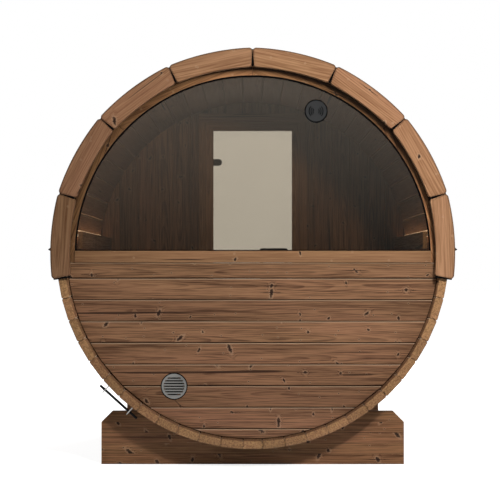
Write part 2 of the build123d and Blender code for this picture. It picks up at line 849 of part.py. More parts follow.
# --- Arch boards ------------------------------------------------------------------------

arch_outer_radius = barrel_radius + arch_stand_out
arch_inner_radius = arch_outer_radius - arch_board_depth


def make_arch(name, face, numbers):
    """Curved boards end to end over the stave ends, each with its corners rounded."""
    half = radians(arch_board_angle / 2)
    outer_x = arch_outer_radius * cos(half)
    outer_y = arch_outer_radius * sin(half) - arch_board_gap / 2
    inner_x = arch_inner_radius * cos(half)
    inner_y = arch_inner_radius * sin(half) - arch_board_gap / 2
    outer_middle = (arch_outer_radius - arch_outer_flatness, 0)
    inner_middle = (arch_inner_radius - arch_inner_flatness, 0)
    with BuildPart() as arch:
        for number in numbers:
            middle = 90 + arch_board_angle * (number - (arch_board_count - 1) / 2)
            with BuildSketch(radial_plane(middle, face, arch_centre_rise)) as board:
                with BuildLine():
                    ThreePointArc((outer_x, -outer_y), outer_middle, (outer_x, outer_y))
                    Line((outer_x, outer_y), (inner_x, inner_y))
                    ThreePointArc((inner_x, inner_y), inner_middle, (inner_x, -inner_y))
                    Line((inner_x, -inner_y), (outer_x, -outer_y))
                make_face()
                fillet(board.vertices(), radius=arch_corner)
            extrude(amount=arch_thickness)
    keep(arch, name)


right_boards = range(arch_board_count // 2)
left_boards = range(arch_board_count // 2, arch_board_count)
make_arch("arch_window_end_right", front_end, right_boards)
make_arch("arch_window_end_left", front_end, left_boards)
make_arch("arch_door_end_right", back_end + arch_thickness, right_boards)
make_arch("arch_door_end_left", back_end + arch_thickness, left_boards)
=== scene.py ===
"""The finish of a barrel sauna: every board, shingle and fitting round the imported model.

Frame: +Z up, +Y along the barrel towards the door, X across it, and the origin on the ground
under the middle of the barrel. Lengths are in metres and angles in degrees.
"""

import math
from functools import wraps

import bpy
import numpy as np
from bpy.props import FloatProperty, FloatVectorProperty, IntProperty, PointerProperty
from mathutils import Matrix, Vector


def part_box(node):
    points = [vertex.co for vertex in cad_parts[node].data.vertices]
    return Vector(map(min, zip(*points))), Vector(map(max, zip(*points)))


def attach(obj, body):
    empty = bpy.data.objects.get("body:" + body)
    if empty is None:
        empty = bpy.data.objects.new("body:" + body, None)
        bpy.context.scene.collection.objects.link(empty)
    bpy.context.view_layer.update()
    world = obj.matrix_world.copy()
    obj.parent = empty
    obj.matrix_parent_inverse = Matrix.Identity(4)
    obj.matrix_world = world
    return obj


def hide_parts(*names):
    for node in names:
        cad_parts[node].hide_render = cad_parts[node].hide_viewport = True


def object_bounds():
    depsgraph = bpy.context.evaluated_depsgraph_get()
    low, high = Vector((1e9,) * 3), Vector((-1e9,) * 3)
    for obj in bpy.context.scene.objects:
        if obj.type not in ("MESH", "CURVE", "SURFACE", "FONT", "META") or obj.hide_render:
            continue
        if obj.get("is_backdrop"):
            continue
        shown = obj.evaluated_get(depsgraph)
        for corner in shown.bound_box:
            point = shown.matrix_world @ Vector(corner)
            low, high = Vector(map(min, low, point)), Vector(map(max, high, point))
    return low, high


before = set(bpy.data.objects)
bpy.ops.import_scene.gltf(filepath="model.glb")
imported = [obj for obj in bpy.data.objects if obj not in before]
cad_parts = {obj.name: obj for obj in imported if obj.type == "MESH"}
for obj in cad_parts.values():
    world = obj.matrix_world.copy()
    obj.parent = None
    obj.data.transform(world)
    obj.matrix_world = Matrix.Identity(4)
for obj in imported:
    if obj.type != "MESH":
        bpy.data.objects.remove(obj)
CAD_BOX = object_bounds()

bl_info = {
    "name": "Barrel Sauna",
    "version": (1, 0, 0),
    "blender": (4, 5, 0),
    "location": "View3D > Sidebar > Sauna",
    "description": "Builds the boards, roof, fittings and studio of a barrel sauna",
    "category": "Add Mesh",
}

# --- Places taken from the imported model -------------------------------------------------


def centre_of(node):
    """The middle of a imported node's box."""
    return (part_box(node)[0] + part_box(node)[1]) / 2


def low(node, axis):
    """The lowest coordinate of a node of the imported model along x, y or z."""
    return getattr(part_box(node)[0], axis)


def high(node, axis):
    """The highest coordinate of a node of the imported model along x, y or z."""
    return getattr(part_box(node)[1], axis)


STAVE_SIDES = "bottom lower_right right upper_right top_right top_left upper_left left lower_left"
STAVE_NODES = ["staves_" + side for side in STAVE_SIDES.split()]
BARREL_FOOT = low("staves_bottom", "z")
BARREL_TOP = high("staves_top_right", "z")
RADIUS = (BARREL_TOP - BARREL_FOOT) / 2
AXIS_Z = (BARREL_TOP + BARREL_FOOT) / 2
FRONT = low("staves_bottom", "y")
BACK = high("staves_bottom", "y")
WINDOW_WALL_OUT = low("window_wall_boards", "y")
WINDOW_WALL_IN = high("window_wall_boards", "y")
DOOR_WALL_IN = low("door_wall_left", "y")
DOOR_WALL_OUT = high("door_wall_left", "y")
ROOF_RADIUS = high("roof_right", "x")
SHELL = "shell"
FIT = 0.0003  # What a piece keeps clear of the one that it lies against
SLIM = 0.001  # Rounding of joists, battens, joint strips and light edges
SHEET = 0.0004  # Rounding of the thin sheets behind the arch boards
STAVE_END = 0.0018  # Rounding of the staves' ends
WALL_FOOT = 0.001  # How far over its circle's lowest point the lowest wall board ends
# Painted light: the arch boards are toned paler towards this side, where the light falls
PAINTED_LIGHT_SIDE = 42.0  # Where the arch boards are palest, in degrees from +X towards +Z
THREAD_DEPTH = 0.0004  # How far a thread rises and falls from its mean radius
THREAD_PITCH = 0.0042  # From one turn of a thread to the next
LIGHT_EDGE_RISE = 0.0105  # Height of a light edge's foot over its backrest
LIGHT_EDGE_HEIGHT = 0.006
CAP_LENGTH = 0.012  # Of a drip edge's end cap, along the barrel
STAGE_REACH = 60.0  # Half the side of the studio's floor


def srgb(red, green, blue):
    """A colour given in screen values from 0 to 255, as the linear values that materials hold."""
    screen = np.array((red, green, blue)) / 255
    linear = np.where(screen > 0.04045, ((screen + 0.055) / 1.055) ** 2.4, screen / 12.92)
    return tuple(float(value) for value in linear)


# --- What a user may change -------------------------------------------------------------


def length(name, text, default):
    """A size in metres, as a property."""
    return FloatProperty(name=name, description=text, default=default, unit="LENGTH", min=0.0)


def number(name, text, default):
    """A plain number, such as an angle in degrees or a power in watts, as a property."""
    return FloatProperty(name=name, description=text, default=default)


def count(name, text, default):
    """A whole number, as a property."""
    return IntProperty(name=name, description=text, default=default, min=1)


def colour(name, text, default):
    """A colour, as a property."""
    return FloatVectorProperty(
        name=name, description=text, default=default, subtype="COLOR", min=0.0, max=1.0
    )


class SaunaSizes(bpy.types.PropertyGroup):
    """Sizes of the boards and of the roof covering."""

    stave_count: count("Staves", "How many staves go round the barrel", 54)
    closing_angle: number("Closing stave", "Angle of the narrow stave at the bottom", 5.8)
    stave_thickness: length("Stave thickness", "From the outer to the inner face", 0.042)
    stave_chamfer: length("Stave chamfer", "Along a stave's four long edges", 0.0055)
    bead_depth: length("Bead", "How far the round tongue of a stave stands out", 0.004)
    bead_half_width: length("Bead half width", "Half the width of the round tongue", 0.011)
    board_gap: length("Board gap", "Between neighbouring boards", 0.0004)
    groove_depth: length("Groove", "How deep the end walls sit in the staves", 0.0117)
    wall_board: length("Wall board", "Width of a board of the end walls", 0.1105)
    top_wall_board: length("Top wall board", "Height of the board under the sill", 0.0815)
    wall_shadow_gap: length("Shadow gap", "Between the wall boards' face and the staves", 0.0045)
    wall_bevel: length("Wall bevel", "Bevel along the boards of the end walls", 0.005)
    wall_opening: length("Wall opening", "How far a dried joint of the wall stands open", 0.0013)
    edge_radius: length("Edge radius", "Rounding of sawn edges", 0.003)
    ring_width: length("Window frame", "Visible width of the window's curved frame", 0.042)
    seal_lip: length("Seal lip", "Width of the rubber lip over the glass", 0.008)
    ring_pieces: count("Frame pieces", "Curved pieces in the window's frame", 4)
    vent_duct: length("Vent duct", "Radius of the air duct behind the grille", 0.048)
    cradle_corner: length("Cradle corner", "Cut off the upper corners of a cradle", 0.055)
    cradle_layers: count("Cradle layers", "Glued layers that make up a cradle", 5)
    arch_boards: count("Arch boards", "Curved boards over each end of the barrel", 8)
    arch_angle: number("Arch board angle", "Angle that one arch board takes up", 24.57)
    arch_gap: length("Arch gap", "Between neighbouring arch boards", 0.0075)
    arch_stand_out: length("Arch stand-out", "Of the arch boards from the staves", 0.031)
    arch_depth: length("Arch depth", "From an arch board's outer to its inner edge", 0.0955)
    arch_rise: length("Arch rise", "Of the arch's centre above the barrel's axis", 0.013)
    arch_outer_flatness: length("Outer flatness", "Of an arch board's outer edge", 0.004)
    arch_inner_flatness: length("Inner flatness", "Of an arch board's inner edge", 0.006)
    arch_corner: length("Arch corner", "Radius of an arch board's corners", 0.015)
    curve_tone: number("Curve tone", "Mean tone of the arch boards", 0.81)
    # Painted light: how much paler the boards towards the lit side are, and darker on the far side
    curve_fading: number("Curve fading", "How much paler the arch boards on the right are", 0.30)
    arch_edge: length("Arch edge", "Rounding along the edges of the arch boards", 0.0025)
    arch_rim: length("Arch rim", "Width of the dark line along the arch's outer edge", 0.009)
    door_bevel: length("Door wall bevel", "Bevel along the boards beside the door", 0.004)
    jamb_width: length("Jamb width", "Width of the door frame's jambs", 0.045)
    head_height: length("Head height", "Height of the door frame's head and threshold", 0.050)
    rebate: length("Rebate", "Step in the door frame that the leaf closes on", 0.017)
    rebate_depth: length("Rebate depth", "Depth of the step for the leaf", 0.013)
    casing_width: length("Casing width", "Width of the boards round the door frame", 0.046)
    casing_head: length("Casing head", "Height of the board over the door frame", 0.055)
    floor_boards: count("Floor boards", "Boards in the floor", 9)
    floor_gap: length("Floor gap", "Between the floor's boards", 0.008)
    joist_count: count("Joists", "Joists under the floor", 4)
    joist_width: length("Joist width", "Width of a joist", 0.045)
    backrest_boards: count("Backrest boards", "Level boards in each backrest", 3)
    backrest_board: length("Backrest board", "Height of a backrest's board", 0.090)
    backrest_gap: length("Backrest gap", "Between the boards of a backrest", 0.018)
    backrest_thickness: length("Backrest thickness", "Of a backrest's boards", 0.022)
    batten_count: count("Battens", "Upright battens behind each backrest", 3)
    batten_width: length("Batten width", "Width of a batten", 0.040)
    batten_inset: length("Batten inset", "From the end walls to the outer battens", 0.150)
    drip_fold: length("Drip fold", "Where the drip edge bends down, from the staves", 0.030)
    trim_thickness: length("Gable trim", "Thickness of the sheet behind the arch boards", 0.002)
    trim_margin: length("Trim margin", "From the sheet's edge to the arch boards' edge", 0.003)
    rod_angle: number("Rod angle", "Of the tensioners round the barrel", 228.0)
    rod_height: length("Rod height", "Of a tensioner's rod above the staves", 0.031)
    rod_length: length("Rod length", "Of a tensioner's rod", 0.254)
    thread_radius: length("Thread radius", "Mean radius of a rod's thread", 0.0063)
    shingle_row: length("Shingle row", "Height of a shingle that stays in view", 0.145)
    shingle_lap: length("Shingle lap", "How far a row runs up under the next", 0.060)
    shingle_tab: length("Shingle tab", "Width of one tab of a shingle", 0.200)
    shingle_slot: length("Shingle slot", "Between neighbouring tabs", 0.006)
    felt_thickness: length("Felt thickness", "Of the sheet under the shingles", 0.001)
    shingle_thickness: length("Shingle thickness", "Of the roof covering", 0.0032)


class SaunaColours(bpy.types.PropertyGroup):
    """Colours of the finishes."""

    wall_pale: colour("Wall, pale", "Early wood of the wall boards", srgb(125, 92, 67))
    wall_dark: colour("Wall, dark", "Late wood of the wall boards", srgb(66, 44, 31))
    stave_pale: colour("Staves, pale", "Early wood of the staves", srgb(138, 102, 74))
    stave_dark: colour("Staves, dark", "Late wood of the staves", srgb(96, 66, 45))
    arch_pale: colour("Arch, pale", "Early wood of the arch boards", srgb(151, 114, 84))
    arch_dark: colour("Arch, dark", "Late wood of the arch boards", srgb(100, 65, 43))
    cradle_pale: colour("Cradles, pale", "Early wood of the cradles", srgb(129, 93, 64))
    cradle_dark: colour("Cradles, dark", "Late wood of the cradles", srgb(75, 50, 33))
    frame_pale: colour("Frames, pale", "Early wood of sill and frames", srgb(138, 104, 74))
    frame_dark: colour("Frames, dark", "Late wood of sill and frames", srgb(93, 64, 43))
    ring_pale: colour("Curved frame, pale", "Early wood of the window's frame", srgb(136, 98, 65))
    ring_dark: colour("Curved frame, dark", "Late wood of the window's frame", srgb(84, 55, 35))
    bench_pale: colour("Benches, pale", "Early wood of floor and backrests", srgb(150, 114, 84))
    bench_dark: colour("Benches, dark", "Late wood of floor and backrests", srgb(110, 78, 55))
    end_grain: colour("End grain", "Sawn ends of the staves", srgb(158, 121, 84))
    knot: colour("Knots", "Hearts of the knots", srgb(30, 17, 12))
    window_tint: colour("Window tint", "What the window glass lets through", (0.60, 0.555, 0.49))
    door_tint: colour("Door tint", "What the door glass lets through", (0.74, 0.71, 0.63))
    seal: colour("Seal", "Rubber round the window glass", srgb(14, 13, 13))
    vent: colour("Vent", "Plastic of the window's vent", srgb(40, 41, 42))
    grille: colour("Grille", "Metal of the wall's grille", srgb(124, 124, 122))
    band: colour("Bands", "Steel of the bands", srgb(172, 172, 170))
    rod: colour("Rods", "Steel of the tensioner rods", srgb(22, 22, 23))
    black_metal: colour("Black metal", "Hinges and handle", srgb(30, 30, 31))
    drip: colour("Drip edges", "Coated sheet metal", srgb(28, 28, 29))
    shingle: colour("Shingles", "Stone chips of the roof covering", srgb(58, 57, 58))
    light: colour("Light strips", "Warm light behind the backrests", (1.0, 0.72, 0.47))
    # Painted light: colour of the glowing lip that stands for the strips' light on the staves
    light_edge: colour("Light edges", "Reddish glow of the light strips' edges", (1.0, 0.62, 0.34))


class SaunaStudio(bpy.types.PropertyGroup):
    """The camera and the lights."""

    camera_distance: length("Camera distance", "From the window end of the barrel", 7.76)
    camera_height: length("Camera height", "Above the ground", 1.020)
    camera_lens: number("Lens", "In millimetres", 109.6)
    camera_pitch: number("Camera pitch", "Upwards from level", 0.753)
    camera_yaw: number("Camera yaw", "To the left of straight ahead", 0.100)
    key_power: number("Key", "Watts of the lamp in front", 140.0)
    key_size: length("Key size", "Side of the lamp in front", 0.30)
    top_power: number("Top", "Watts of the lamp above", 52.0)
    foot_power: number("Foot", "Watts of the low lamp", 0.27)
    ambient: number("Ambient", "Light from all round", 0.10)
    strip_strength: number("Strips", "Light strips' glow", 6.5)
    # Painted light: glow of the lip on the staves above each backrest
    edge_strength: number("Edges", "Glow of the light strips' edges", 0.72)


def sizes():
    """The sizes in use."""
    return bpy.context.scene.sauna_sizes


def colours():
    """The colours in use."""
    return bpy.context.scene.sauna_colours


def studio():
    """The camera and light settings in use."""
    return bpy.context.scene.sauna_studio


# --- Surfaces ---------------------------------------------------------------------------


def inset(outline, distance):
    """A closed outline moved inwards.

    Each point moves against the sum of its two edges' outward normals, divided by one plus
    their dot product, so that both edges move by the distance.
    """
    step = np.roll(outline, -1, axis=0) - outline
    area = np.sum(outline[:, 0] * step[:, 1] - outline[:, 1] * step[:, 0])
    normal = np.stack((step[:, 1], -step[:, 0]), axis=1) * np.sign(area)
    normal /= np.linalg.norm(normal, axis=1, keepdims=True)
    before = np.roll(normal, 1, axis=0)
    reach = 1 + np.sum(normal * before, axis=1, keepdims=True)
    return outline - distance * (normal + before) / reach


def rounded_levels(start, stop, radius, steps=2):
    """Places along a path, with the inset that rounds both of its ends by a quarter circle.

    At an angle from 0 to 90 the place is the radius times one less the cosine, and the inset
    is the radius times one less the sine. The third row marks the rounding's middle.
    """
    turn = np.linspace(0, math.pi / 2, steps + 1)
    place, drawn_in = radius * (1 - np.cos(turn)), radius * (1 - np.sin(turn))
    near = np.array((start + place, drawn_in, np.sin(2 * turn)))
    far = np.array((stop - place, drawn_in, np.sin(2 * turn)))
    return np.concatenate((near, far[:, ::-1]), axis=1)


def rounded_rectangle(width, height, radius):
    """The outline of a rectangle with rounded corners, centred, and a mark on its rounding.

    The upper half runs from left to right through two quarter circles, and the lower half is
    its mirror image run back, so that points i and N-1-i face each other.
    """
    turn = np.linspace(0, math.pi / 2, 3)
    flat = np.array((width / 2 - radius, height / 2 - radius))
    corner = flat + radius * np.stack((np.sin(turn), np.cos(turn)), axis=1)
    upper = np.concatenate((corner[::-1] * (-1, 1), corner))
    mark = np.concatenate((np.sin(2 * turn), np.sin(2 * turn)))
    return np.concatenate((upper, upper[::-1] * (1, -1))), np.concatenate((mark, mark[::-1]))


def trimmed_strip(near, far, start, stop):
    """The outline of a strip between two parallel edges, with its ends cut along curves.

    start and stop give the ends as functions of the place across the strip. The half beyond
    the middle line comes first and the other half is run back, as in rounded_rectangle.
    """
    middle = (near + far) / 2

    def half(end, edge):
        """Points of one end from next to the middle line to an edge, or a straight end's corner."""
        straight = np.ptp(end(np.array((near, middle, far)))) < 1e-9
        share = np.ones(1) if straight else np.arange(1, 5) / 4
        across = middle + (edge - middle) * share
        return np.stack((end(across), across), axis=1)

    upper = (half(start, far), half(stop, far)[::-1])
    lower = (half(stop, near), half(start, near)[::-1])
    return np.concatenate(upper + lower)


def across_barrel(x, z, y):
    """Points of a plane across the barrel, whose middle is on its axis."""
    return np.stack((x, np.full_like(x, y), z + AXIS_Z), axis=1)


def turned(angle_deg):
    """The outward and the sideways direction at an angle from +X towards +Z."""
    x, z = math.cos(math.radians(angle_deg)), math.sin(math.radians(angle_deg))
    return np.array((x, 0, z)), np.array((-z, 0, x))


def round_middle(out, sideways, middle, centre_z):
    """A function that brings places outwards of a middle radius, and sideways, to the frame."""
    centre = np.array((0, 0, centre_z))
    return lambda reach, across, y: (
        (reach + middle)[:, None] * out + across[:, None] * sideways + (centre + (0, y, 0))
    )


def on_arc(radius, turn):
    """Points of a circle at angles in radians."""
    return radius * np.stack((np.cos(turn), np.sin(turn)), axis=1)


def chord_of(radius):
    """Half the chord of a circle about the barrel's axis, at a place across it."""
    return lambda across: np.sqrt(np.maximum(radius**2 - across**2, 0))


def outwards(points, quads):
    """The four-sided faces of a closed surface, turned over if they face inwards.

    The sum of their corners' triple products is six times the volume, and negative then.
    """
    a, b, c, d = (points[quads[:, corner]] for corner in range(4))
    volume = np.sum(a * np.cross(b, c)) + np.sum(a * np.cross(c, d))
    return quads[:, ::-1] if volume < 0 else quads


def new_mesh(name, points, quads):
    """A mesh of points and four-sided faces, smooth except at its sharp edges."""
    mesh = bpy.data.meshes.new(name)
    mesh.vertices.add(len(points))
    mesh.vertices.foreach_set("co", points.astype(np.float32).ravel())
    mesh.loops.add(quads.size)
    mesh.loops.foreach_set("vertex_index", quads.astype(np.int32).ravel())
    mesh.polygons.add(len(quads))
    mesh.polygons.foreach_set("loop_start", np.arange(0, quads.size, 4, dtype=np.int32))
    mesh.update(calc_edges=True)
    mesh.polygons.foreach_set("use_smooth", np.ones(len(quads), bool))
    mesh.set_sharp_from_angle(angle=math.radians(35))
    mesh.update()
    return mesh


def new_object(name, data):
    """A new object in the scene, with its mesh, lamp or camera."""
    thing = bpy.data.objects.new(name, data)
    bpy.context.scene.collection.objects.link(thing)
    return thing


def new_piece(mesh, material, slot, *nodes):
    """A new object with its material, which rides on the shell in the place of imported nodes."""
    piece = new_object(mesh.name, mesh)
    mesh.materials.append(material)
    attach(piece, SHELL)
    if nodes:
        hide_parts(*nodes)


ALONG_X = ((1, 0, 0), (0, 0, 1), (0, 1, 0))
ALONG_Y = ((0, 1, 0), (1, 0, 0), (0, 0, 1))
ALONG_Z = ((0, 0, 1), (1, 0, 0), (0, 1, 0))
LABELS = ("board", "edge", "end", "tone")


class Boards:
    """Closed surfaces gathered into one mesh, each with its own number and grain."""

    def __init__(self, first_number=0):
        self.points, self.quads, self.grain = [], [], []
        self.values = {label: [] for label in LABELS}
        self.number = first_number
        self.total = 0

    def add(self, rings, axes=ALONG_X, origin=(0, 0, 0), edge=0.0, sawn=0, layer=None, tone=1.0):
        """Adds the surface through rings of points: an array of rings by points by xyz.

        Neighbouring rings are joined by four-sided faces, and so are the facing points i and
        N-1-i of the first and of the last ring, which closes both ends. axes are the grain's
        directions: along, across and through the board. edge marks what is dark (above 0) or
        pale (below 0); the pale marks are painted highlights, and on the wall boards the dark
        marks are painted shade. Where sawn is 1 both ends show end grain. layer gives each
        point a board's number of its own.
        """
        shape = rings.shape[:2]
        around = shape[1]
        index = np.arange(shape[0] * around).reshape(shape)
        here, ahead = index[:-1], index[1:]
        sides = np.stack((here, np.roll(here, -1, 1), np.roll(ahead, -1, 1), ahead), axis=-1)
        left = np.arange(around // 2 - 1)
        strip = np.stack((left, around - 1 - left, around - 2 - left, left + 1), axis=-1)
        quads = np.concatenate((sides.reshape(-1, 4), index[0][strip], index[-1][strip][:, ::-1]))
        points = rings.reshape(-1, 3)
        self.points.append(points)
        self.quads.append(outwards(points, quads) + self.total)
        self.grain.append((points - np.asarray(origin)) @ np.array(axes, float).T)
        end = np.zeros((shape[0], 1))
        end[[0, -1]] = sawn
        board = layer(rings) if layer else self.number + 0.5
        for label, value in zip(LABELS, (board, edge, end, tone)):
            self.values[label].append(np.broadcast_to(value, shape).reshape(-1))
        self.total += len(points)
        self.number += 1

    def carry(self, outline, levels, to_frame=across_barrel, axes=ALONG_X, origin=(0, 0, 0),
              mark=0.0, **finish):
        """Carries an outline along a path: levels gives each ring's place, inset and mark."""
        mark = np.broadcast_to(mark, len(outline))
        rings, edges = [], []
        for place, distance, level_mark in levels.T:
            flat = inset(outline, distance) if distance else outline
            rings.append(to_frame(flat[:, 0], flat[:, 1], place))
            edges.append(np.where(np.abs(mark) > level_mark, mark, level_mark))
        edges[0] = edges[-1] = np.zeros(len(outline))
        self.add(np.array(rings), axes, origin, np.array(edges), **finish)

    def bar(self, least, most, direction, radius):
        """A straight bar with rounded edges between two corners, its grain along x, y or z."""
        least, most = np.array(least, float), np.array(most, float)
        middle = (least + most) / 2
        run = "xyz".index(direction)
        wide, deep = [axis for axis in range(3) if axis != run]
        outline, mark = rounded_rectangle((most - least)[wide], (most - least)[deep], radius)
        levels = rounded_levels(least[run], most[run], radius / 2)

        def to_frame(a, b, place):
            """From across the bar to the frame."""
            points = np.empty((len(a), 3))
            points[:, wide] = a + middle[wide]
            points[:, deep] = b + middle[deep]
            points[:, run] = place
            return points

        self.carry(outline, levels, to_frame, np.eye(3)[[run, wide, deep]], middle, mark, sawn=1)

    def piece(self, name, material, slot, *nodes):
        """Makes the mesh and its object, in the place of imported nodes."""
        mesh = new_mesh(name, np.concatenate(self.points), np.concatenate(self.quads))
        for label, parts in self.values.items():
            values = np.concatenate(parts).astype(np.float32)
            mesh.attributes.new(label, "FLOAT", "POINT").data.foreach_set("value", values)
        grain = np.concatenate(self.grain).astype(np.float32).ravel()
        mesh.attributes.new("grain", "FLOAT_VECTOR", "POINT").data.foreach_set("vector", grain)
        new_piece(mesh, material, slot, *nodes)


def ring_round(name, node, material, size, rounding, place):
    """A rounded section carried once round the middle of a node, for a black rim of painted shadow or
    a black sheet of painted shade.

    size is the section's width and depth. place is how far its middle lies from the node's
    middle across the barrel, and how far behind the node's face.
    """
    section = rounded_rectangle(*size, rounding)[0] + place
    middle = centre_of(node)
    turn = np.linspace(0, 2 * math.pi, 96, endpoint=False)[:, None]
    x = middle.x + np.cos(turn) * section[:, 0]
    z = middle.z + np.sin(turn) * section[:, 0]
    y = np.broadcast_to(low(node, "y") + section[:, 1], x.shape)
    points = np.stack((x, y, z), axis=-1).reshape(-1, 3)
    index = np.arange(x.size).reshape(x.shape)
    ahead = np.roll(index, -1, axis=0)
    quads = np.stack((index, np.roll(index, -1, 1), np.roll(ahead, -1, 1), ahead), axis=-1)
    quads = outwards(points, quads.reshape(-1, 4))
    new_piece(new_mesh(name, points, quads), material, "seal_rubber")


# --- Materials --------------------------------------------------------------------------


class Net:
    """Fills a node tree. Each method adds one node and gives back what it puts out."""

    def __init__(self, tree):
        self.tree = tree

    def node(self, kind, **settings):
        """A node with its settings."""
        node = self.tree.nodes.new(kind)
        for name, value in settings.items():
            setattr(node, name, value)
        return node

    def feed(self, socket, value):
        """Links an output to a socket, or sets the socket's own value."""
        if isinstance(value, bpy.types.NodeSocket):
            self.tree.links.new(value, socket)
        elif value is not None:
            socket.default_value = value

    def fed(self, node, values):
        """A node whose inputs get values or links, in their order or by their names."""
        for label, value in values.items() if isinstance(values, dict) else enumerate(values):
            self.feed(node.inputs[label], value)
        return node

    def math(self, operation, *values, clamp=False):
        """One sum on numbers."""
        node = self.node("ShaderNodeMath", operation=operation, use_clamp=clamp)
        return self.fed(node, values).outputs[0]

    def times(self, first, second, clamp=False):
        """Two numbers multiplied."""
        return self.math("MULTIPLY", first, second, clamp=clamp)

    def plus(self, first, second, clamp=False):
        """Two numbers added."""
        return self.math("ADD", first, second, clamp=clamp)

    def line(self, value, factor, offset):
        """A number times a factor, with an offset added."""
        return self.math("MULTIPLY_ADD", value, factor, offset)

    def vector(self, operation, *values):
        """One sum on vectors."""
        node = self.fed(self.node("ShaderNodeVectorMath", operation=operation), values)
        return node.outputs["Value" if operation == "LENGTH" else "Vector"]

    def split(self, vector):
        """The three parts of a vector."""
        return tuple(self.fed(self.node("ShaderNodeSeparateXYZ"), (vector,)).outputs)

    def joined(self, *parts):
        """A vector of three parts."""
        return self.fed(self.node("ShaderNodeCombineXYZ"), parts).outputs[0]

    def noise(self, vector, scale, detail=2.0, roughness=0.5, output="Fac"):
        """Soft noise from 0 to 1."""
        values = {"Vector": vector, "Scale": scale, "Detail": detail, "Roughness": roughness}
        return self.fed(self.node("ShaderNodeTexNoise"), values).outputs[output]

    def step(self, value, start, stop, low_value=0.0, high_value=1.0):
        """A smooth step from one value to another."""
        node = self.node("ShaderNodeMapRange", interpolation_type="SMOOTHSTEP")
        return self.fed(node, (value, start, stop, low_value, high_value)).outputs[0]

    def fade(self, value, start, stop):
        """A smooth step from 1 down to 0."""
        return self.step(value, start, stop, 1.0, 0.0)

    def mix(self, factor, first, second):
        """Two colours mixed."""
        node = self.node("ShaderNodeMix", data_type="RGBA")
        return self.fed(node, {0: factor, 6: opaque(first), 7: opaque(second)}).outputs[2]

    def attribute(self, name, output="Fac"):
        """One of the mesh's own attributes."""
        return self.node("ShaderNodeAttribute", attribute_name=name).outputs[output]

    def bump(self, height, distance, strength=1.0):
        """A normal from a height."""
        values = {"Height": height, "Distance": distance, "Strength": strength}
        return self.fed(self.node("ShaderNodeBump"), values).outputs[0]

    def place(self):
        """The place on the object."""
        return self.node("ShaderNodeTexCoord").outputs["Object"]

    def chance(self, number):
        """White noise from a whole number."""
        node = self.node("ShaderNodeTexWhiteNoise", noise_dimensions="1D")
        return self.fed(node, {"W": self.math("FLOOR", number)}).outputs

    def show(self, shader):
        """Makes a shader the material's surface."""
        output = next(node for node in self.tree.nodes if node.type == "OUTPUT_MATERIAL")
        self.feed(output.inputs["Surface"], shader)


def opaque(value):
    """A colour of three parts with its alpha, and anything else as it is."""
    if isinstance(value, (bpy.types.NodeSocket, float, int)):
        return value
    return (*tuple(value)[:3], 1.0)


def shaded(tint, share):
    """A colour times a share."""
    return tuple(share * part for part in tint)


def new_group(name, inputs, outputs):
    """An empty node group with its sockets, which are given as name, kind and value."""
    group = bpy.data.node_groups.new(name, "ShaderNodeTree")
    for label, kind, value in inputs:
        socket = group.interface.new_socket(
            name=label, in_out="INPUT", socket_type="NodeSocket" + kind
        )
        if value is not None:
            socket.default_value = value
    for label, kind in outputs:
        group.interface.new_socket(name=label, in_out="OUTPUT", socket_type="NodeSocket" + kind)
    net = Net(group)
    return net, net.node("NodeGroupInput").outputs, net.node("NodeGroupOutput").inputs


